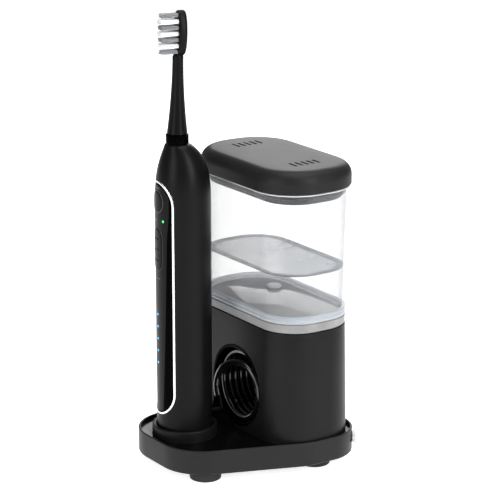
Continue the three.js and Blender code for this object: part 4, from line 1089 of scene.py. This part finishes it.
def dot_tree():
    """A small ball on each point that it is given, sunk so that it shows as a low round dot."""
    tree = Tree("key_dots", [("Geometry", "Geometry"), ("Radius", "Float"), ("Finish", "Material")])
    ball = tree.node("GeometryNodeMeshIcoSphere", Radius=tree.given("Radius"), Subdivisions=3)
    copies = tree.node(
        "GeometryNodeInstanceOnPoints", Points=tree.given("Geometry"), Instance=ball.outputs[0],
    )
    tree.end(copies.outputs[0], tree.given("Finish"))
    return tree


def front_points(places, proud):
    """A mesh of loose points on the handle's front at (across, height) places."""
    bm = bmesh.new()
    for across, height in places:
        bm.verts.new(front_point(across, height, proud))
    mesh = bpy.data.meshes.new("front_points")
    bm.to_mesh(mesh)
    bm.free()
    return mesh


def build_dots(props):
    places = [(x * MM, MODE_KEY_Z + z * MM) for x in (-1.6, 1.6) for z in (-7, 0, 7)]
    dot_tree().build(
        "key_dots", {"Radius": props.dot_radius, "Finish": material("gloss")}, "mode_button", "gloss_black",
        place=STAND, source=front_points(places, 0.16 * MM),
    )
    marks = [
        ((i - (count - 1) / 2) * pitch, HANDLE_BOTTOM + up)
        for up, count, pitch in MARK_ROWS for i in range(count)
    ]
    dot_tree().build(
        "printed_marks", {"Radius": 0.34 * MM, "Finish": material("mark")}, "handle", "gloss_black",
        place=STAND, source=front_points(marks, -0.22 * MM),
    )


def build_lenses(props):
    lights = [
        (f"level_light_{i + 1}", LEVEL_Z + LEVEL_PITCH * i, 0.0, "blue", "lens_blue", f"level_lens_{i + 1}")
        for i in range(LEVEL_COUNT)
    ]
    for i, side in enumerate((-1, 0, 1)):
        finish, slot = ("green", "lens_green") if i == 2 else ("dark", "lens_dark")
        across = side * HANDLE_RADIUS * STATUS_ANGLE
        lights.append((f"status_light_{i + 1}", STATUS_Z, across, finish, slot, f"status_lens_{i + 1}"))
    for name, height, across, finish, slot, node in lights:
        front_patch(name, disc(LENS_RADIUS, height, across, 24), -0.8 * MM, 0.08 * MM, finish, "handle",
                    (node,), 0.2 * MM)


# ---------- brush ----------
def collar_place():
    return STAND @ Matrix.Translation((0, -NECK_SHIFT, 0))


def brush_place():
    tilt = Matrix.Identity(4)
    tilt[1][2] = NECK_LEAN
    tilt[1][3] = -NECK_LEAN * NECK[0].z
    return collar_place() @ tilt


def build_brush(props):
    build_collar()
    build_neck()
    build_head()


def build_collar():
    low, high = COLLAR[0].z, COLLAR[1].z
    middle = (low + high) / 2
    radius, edge, groove = 7.1 * MM, 0.4 * MM, 0.4 * MM
    wide, narrow = 0.35 * MM, 0.15 * MM   # half heights of the groove at its mouth and its floor
    profile = [(SHAFT_BORE, low), (radius - edge, low)] + arc(radius - edge, low + edge, edge, -80, 0, 4)
    profile += [(radius, middle - wide), (radius - groove, middle - narrow)]
    profile += [(radius - groove, middle + narrow), (radius, middle + wide)]
    profile += arc(radius - edge, high - edge, edge, 0, 80, 4) + [(SHAFT_BORE, high)]
    piece("collar", closed_lathe(profile), "gloss", "brush", ("brush_collar",), 35,
          collar_place())


def build_neck():
    start = NECK[0].z
    edge, tip, bore_deep = 0.4 * MM, 2.5 * MM, 6 * MM
    rows, tip_rows = 24, 6
    profile = [(0, start + bore_deep), (SHAFT_BORE, start + bore_deep), (SHAFT_BORE, start)]
    profile += [(NECK_LOW_RADIUS - edge, start), (NECK_LOW_RADIUS, start + edge)]
    for k in range(1, rows + 1):
        part = k / rows
        radius = NECK_TOP_RADIUS + (NECK_LOW_RADIUS - NECK_TOP_RADIUS) * (1 - part) ** NECK_CURVE
        profile.append((radius, start + (NECK_RUN - tip) * part))
    for k in range(1, tip_rows):
        a = math.pi / 2 * k / tip_rows
        profile.append((NECK_TOP_RADIUS * math.cos(a), start + NECK_RUN - tip * (1 - math.sin(a))))
    profile.append((0, start + NECK_RUN))
    piece("neck", lathe(profile, 64), "neck", "brush", ("brush_neck",), 35, brush_place())


def build_head():
    soft, steps = 1.9 * MM, 72
    rows = [(0.9 * MM, HEAD_FRONT), (0.25 * MM, HEAD_FRONT + 0.2 * MM), (0.0, HEAD_FRONT + 0.9 * MM)]
    for degrees in range(0, 91, 15):
        a = math.radians(degrees)
        rows.append((soft * (1 - math.cos(a)), HEAD_BACK - soft + soft * math.sin(a)))
    rows.append((3.4 * MM, HEAD_BACK))
    turn = [2 * math.pi * i / steps for i in range(steps)]
    loops = [[
        Vector(((HEAD_HALF_X - inset) * math.cos(a), y, HEAD_Z + (HEAD_HALF_Z - inset) * math.sin(a)))
        for a in turn
    ] for inset, y in rows]
    piece("brush_head", rings(loops), "neck", "brush", (), 40, brush_place())


def tuft_tree():
    """A thin tapered filament on each point, tilted a little at random about its root."""
    taper, seed = 0.6, 7
    tree = Tree("filaments", [
        ("Geometry", "Geometry"), ("Radius", "Float"), ("Length", "Float"), ("Splay", "Float"),
        ("Finish", "Material"),
    ])
    hair = tree.node("GeometryNodeMeshCone", Vertices=6, Radius_Bottom=tree.given("Radius"),
                     Depth=tree.given("Length"))
    tip = tree.scaled("Radius", taper)
    tree.tree.links.new(tip, hair.inputs["Radius Top"])
    least = tree.scaled("Splay", -1.0)
    lowest = tree.node("ShaderNodeCombineXYZ", X=least, Y=least)
    highest = tree.node("ShaderNodeCombineXYZ", X=tree.given("Splay"), Y=tree.given("Splay"))
    lean_by = tree.node("FunctionNodeRandomValue", {"data_type": "FLOAT_VECTOR"}, Seed=seed)
    tree.tree.links.new(lowest.outputs[0], lean_by.inputs[0])
    tree.tree.links.new(highest.outputs[0], lean_by.inputs[1])
    copies = tree.node(
        "GeometryNodeInstanceOnPoints", Points=tree.given("Geometry"), Instance=hair.outputs["Mesh"],
        Rotation=lean_by.outputs[0],
    )
    tree.end(copies.outputs[0], tree.given("Finish"))
    return tree


def tuft_points(wanted):
    """Filament roots of the tufts whose row passes a test, packed in rings in each tuft."""
    bm = bmesh.new()
    for row in range(-TUFT_END_ROW, TUFT_END_ROW + 1):
        if not wanted(row):
            continue
        count = 2 if abs(row) == TUFT_END_ROW else 3
        for i in range(count):
            x = (i - (count - 1) / 2) * TUFT_SPACING
            z = row * TUFT_PITCH
            for ring, number in TUFT_RINGS:
                for k in range(number):
                    a = 2 * math.pi * k / number + ring * TUFT_TWIST
                    bm.verts.new((x + ring * math.cos(a), z + ring * math.sin(a), 0))
    mesh = bpy.data.meshes.new("filament_roots")
    bm.to_mesh(mesh)
    bm.free()
    return mesh


def build_bristles(props):
    """Pale and grey rows in turn; the grey filaments are a little shorter."""
    upright = Matrix.Rotation(math.radians(90), 4, "X")
    place = brush_place() @ Matrix.Translation((0, -1.0 * MM, HEAD_Z)) @ upright
    for name, finish, rest, share, nodes in (
        ("bristles_light", "bristle", 0, 1.0, ("bristle_field",)),
        ("bristles_dark", "bristle_dark", 1, 0.95, ()),
    ):
        values = {
            "Radius": 0.13 * MM, "Length": props.bristle_length * share, "Splay": 0.045,
            "Finish": material(finish),
        }
        roots = tuft_points(lambda row: row % 2 == rest)
        tuft_tree().build(name, values, "brush", "bristle_white", nodes, 60, place, roots)


# ---------- CAD nodes that keep their own shape ----------
CAD_FINISHES = {
    "seal": ("well_seal", "shaft_seal"),
    "station": ("bottom_cover",),
    "handle": ("handle_cap",),
    "gloss": ("hose_outlet", "hose_elbow"),
    # painted light: the deck's pale colour stands for the light seen through the tank's floor
    "deck": ("tower_deck",),
    "grey": ("gear_frame", "pump_body"),
    "inlet": ("power_inlet",),
    "nylon": ("motor_pinion", "cam_gear", "valve_plug"),
    "steel": ("cover_screw_1", "cover_screw_2", "cover_screw_3", "cover_screw_4", "pump_motor",
              "pump_piston",
              "sonic_motor", "drive_shaft"),
    "sleeve": ("battery",),
    "copper": ("primary_coil", "receiver_coil"),
    "ferrite": ("ferrite_core",),
    "board": ("charger_board", "handle_board"),
    "tube": ("suction_tube", "delivery_tube"),
}


def dress_nodes(props):
    for finish, names in CAD_FINISHES.items():
        for name in names:
            mesh = frame["nodes"][name].data
            mesh.materials.clear()
            mesh.materials.append(material(finish))
            mesh.polygons.foreach_set("use_smooth", [True] * len(mesh.polygons))
            mesh.set_sharp_from_angle(angle=math.radians(32))


def build_spring(props):
    low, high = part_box("valve_spring")
    middle = (low + high) / 2
    wire = 0.35 * MM
    radius = (high.x - low.x) / 2 - wire
    turns, per_turn = 4.5, 28
    steps = int(turns * per_turn)
    rise = high.z - low.z - 2 * wire
    path = []
    for i in range(steps + 1):
        a = 2 * math.pi * turns * i / steps
        path.append(Vector((
            middle.x + radius * math.cos(a), middle.y + radius * math.sin(a),
            low.z + wire + rise * i / steps,
        )))
    spring = piece("wound_spring", sweep(path, wire, 10), "steel", None, ("valve_spring",), 60)
    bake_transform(spring)


# ---------- stage ----------
def area_light(name, place, target, size, power):
    lamp = bpy.data.lights.new(name, "AREA")
    lamp.shape = "RECTANGLE"
    lamp.size, lamp.size_y = size
    lamp.energy = power
    obj = bpy.data.objects.new(name, lamp)
    bpy.context.scene.collection.objects.link(obj)
    obj.location = place
    obj.rotation_euler = (Vector(target) - Vector(place)).to_track_quat("-Z", "Y").to_euler()


def build_stage(props):
    scene = bpy.context.scene
    data = bpy.data.cameras.new("camera")
    data.lens = props.lens
    data.sensor_width = 36
    camera = bpy.data.objects.new("camera", data)
    scene.collection.objects.link(camera)
    azimuth, pitch = props.azimuth, props.pitch
    level = math.cos(pitch)
    away = Vector((math.sin(azimuth) * level, -math.cos(azimuth) * level, math.sin(pitch)))
    camera.location = LOOK_AT + away * props.distance
    camera.rotation_euler = (-away).to_track_quat("-Z", "Y").to_euler()
    scene.camera = camera
    bm = bmesh.new()
    bmesh.ops.create_grid(bm, x_segments=1, y_segments=1, size=3.0)
    mesh = bpy.data.meshes.new("floor")
    bm.to_mesh(mesh)
    bm.free()
    floor = bpy.data.objects.new("floor", mesh)
    scene.collection.objects.link(floor)
    made = Finish("pale_floor")
    slow = made.noise(3, 2)
    made.set(Base_Color=made.blend(slow, rgb((0.9, 0.9, 0.9)), rgb((0.93, 0.93, 0.93))), Roughness=0.6,
             Emission_Color=(1, 1, 1, 1))
    made.shader.inputs["Emission Strength"].default_value = props.floor_glow
    mesh.materials.append(made.material)
    world = bpy.data.worlds.new("studio")
    world.use_nodes = True
    world.node_tree.nodes["Background"].inputs["Color"].default_value = (1, 1, 1, 1)
    world.node_tree.nodes["Background"].inputs["Strength"].default_value = props.surround
    scene.world = world
    scene.view_settings.view_transform = "Standard"
    centre = (0, 0, (CAD_BOX[0][2] + CAD_BOX[1][2]) / 2)
    for name, place, size, power in LIGHTS:
        area_light(name, place, centre, size, power)


# ---------- the add-on ----------
class FlosserStage(bpy.types.PropertyGroup):
    azimuth: bpy.props.FloatProperty(
        name="Azimuth", description="Camera's way round the object", default=math.radians(56),
        subtype="ANGLE")
    pitch: bpy.props.FloatProperty(
        name="Pitch", description="Camera's height above the horizon", default=math.radians(15.9),
        subtype="ANGLE")
    distance: bpy.props.FloatProperty(
        name="Distance", description="Camera to the object's middle", default=1.368, unit="LENGTH")
    lens: bpy.props.FloatProperty(name="Lens", description="Focal length in millimetres", default=158.4)
    floor_glow: bpy.props.FloatProperty(
        name="Floor glow", description="Light of the white sweep", default=0.8)
    surround: bpy.props.FloatProperty(
        name="Surround", description="Strength of the studio's white", default=0.2)


def color_property(label, text, color):
    return bpy.props.FloatVectorProperty(
        name=label, description=text, default=color, size=3, min=0, max=1, subtype="COLOR")


class FlosserColors(bpy.types.PropertyGroup):
    station: color_property("Station", "Tower and charging cup", (0.005, 0.005, 0.0052))
    tray: color_property("Tray", "The base tray", (0.009, 0.009, 0.0094))
    handle: color_property("Handle", "Handle, keys and brush neck", (0.003, 0.003, 0.0032))
    lid: color_property("Lid", "The vented lid", (0.009, 0.009, 0.0093))
    trim: color_property("Trim", "Bright trim round the panel", (0.9, 0.9, 0.91))
    hose: color_property("Hose", "The coiled hose", (0.004, 0.004, 0.0045))
    water: color_property("Water", "Tint of the water", (0.5, 0.55, 0.6))
    level_light: color_property("Level lights", "Lamps that show the level", (0.02, 0.38, 0.95))
    ready_light: color_property("Ready light", "Lamp that shows the mode", (0.03, 0.85, 0.12))


class FlosserSizes(bpy.types.PropertyGroup):
    diameter: bpy.props.FloatProperty(
        name="Hose diameter", description="Outer diameter of the hose", default=0.0042, unit="LENGTH")
    lip_height: bpy.props.FloatProperty(
        name="Tray lip", description="Height of the rim above the tray's floor", default=0.0025,
        unit="LENGTH")
    ridges: bpy.props.IntProperty(name="Ridges", description="Clear beads round the tank's foot", default=2)
    water_depth: bpy.props.FloatProperty(
        name="Water level", description="Water surface above the tank's foot", default=0.0363, unit="LENGTH")
    vents: bpy.props.IntProperty(name="Vents", description="Slots in each group on the lid", default=5)
    vent_pitch: bpy.props.FloatProperty(
        name="Vent pitch", description="Distance between two slots", default=0.0043, unit="LENGTH")
    trim_width: bpy.props.FloatProperty(
        name="Trim width", description="Width of the bright trim round the panel", default=0.00135,
        unit="LENGTH")
    dot_radius: bpy.props.FloatProperty(
        name="Dot radius", description="Size of the raised dots on the mode key", default=0.0006,
        unit="LENGTH")
    bristle_length: bpy.props.FloatProperty(
        name="Bristle length", description="Length of the brush's filaments", default=0.0115, unit="LENGTH")


def operator(name, label, text, build):
    """Makes an Operator class that runs one builder with the scene's settings."""
    def execute(self, context):
        settings = context.scene.flosser_stage if build is build_stage else context.scene.flosser_sizes
        build(settings)
        return {"FINISHED"}
    return type(f"FLOSSER_OT_{name}", (bpy.types.Operator,), {
        "bl_idname": f"flosser.{name}", "bl_label": label, "__doc__": text, "execute": execute,
    })


OPERATORS = [
    operator("stage", "Stage", "Floor, lights and camera", build_stage),
    operator("fittings", "Fittings", "Finishes of the pieces that keep their own shape", dress_nodes),
    operator("hose", "Hose", "The coiled hose and its free stretch", build_hose),
    operator("tray", "Tray", "The base tray", build_tray),
    operator("cup", "Charging cup", "The cup that the handle stands in", build_cup),
    operator("tower", "Tower", "The pump tower and its hose pocket", build_tower),
    operator("feet", "Feet", "The rubber feet", build_feet),
    operator("tank", "Tank", "The clear tank with its ridges and skirt", build_tank),
    operator("water", "Water", "The water in the tank", build_water),
    operator("lid", "Lid", "The vented lid with its plug and seal", build_lid),
    operator("handle", "Handle", "The handle's shell", build_handle),
    operator("panel", "Panel", "The gloss panel and its trim", build_panel),
    operator("buttons", "Buttons", "The power key and the mode key", build_buttons),
    operator("dots", "Dots", "Raised dots and printed marks", build_dots),
    operator("lenses", "Lenses", "The level and status lights", build_lenses),
    operator("brush", "Brush", "The brush collar, neck and head", build_brush),
    operator("bristles", "Bristles", "The brush's filaments", build_bristles),
    operator("spring", "Spring", "The valve's wound spring", build_spring),
]


class FLOSSER_PT_panel(bpy.types.Panel):
    """Lists the pieces that can be built."""
    bl_label = "Flosser station"
    bl_idname = "FLOSSER_PT_panel"
    bl_space_type = "VIEW_3D"
    bl_region_type = "UI"
    bl_category = "Flosser"

    def draw(self, context):
        for each in OPERATORS:
            self.layout.operator(each.bl_idname)


CLASSES = [FlosserStage, FlosserSizes, FlosserColors, *OPERATORS, FLOSSER_PT_panel]


def register():
    for each in CLASSES:
        bpy.utils.register_class(each)
    bpy.types.Scene.flosser_stage = bpy.props.PointerProperty(type=FlosserStage)
    bpy.types.Scene.flosser_sizes = bpy.props.PointerProperty(type=FlosserSizes)
    bpy.types.Scene.flosser_colors = bpy.props.PointerProperty(type=FlosserColors)


def unregister():
    del bpy.types.Scene.flosser_stage
    del bpy.types.Scene.flosser_sizes
    del bpy.types.Scene.flosser_colors
    for each in reversed(CLASSES):
        bpy.utils.unregister_class(each)


def main():
    register()
    for each in OPERATORS:
        getattr(bpy.ops.flosser, each.bl_idname.split(".")[1])()


if __name__ == "__main__":
    main()
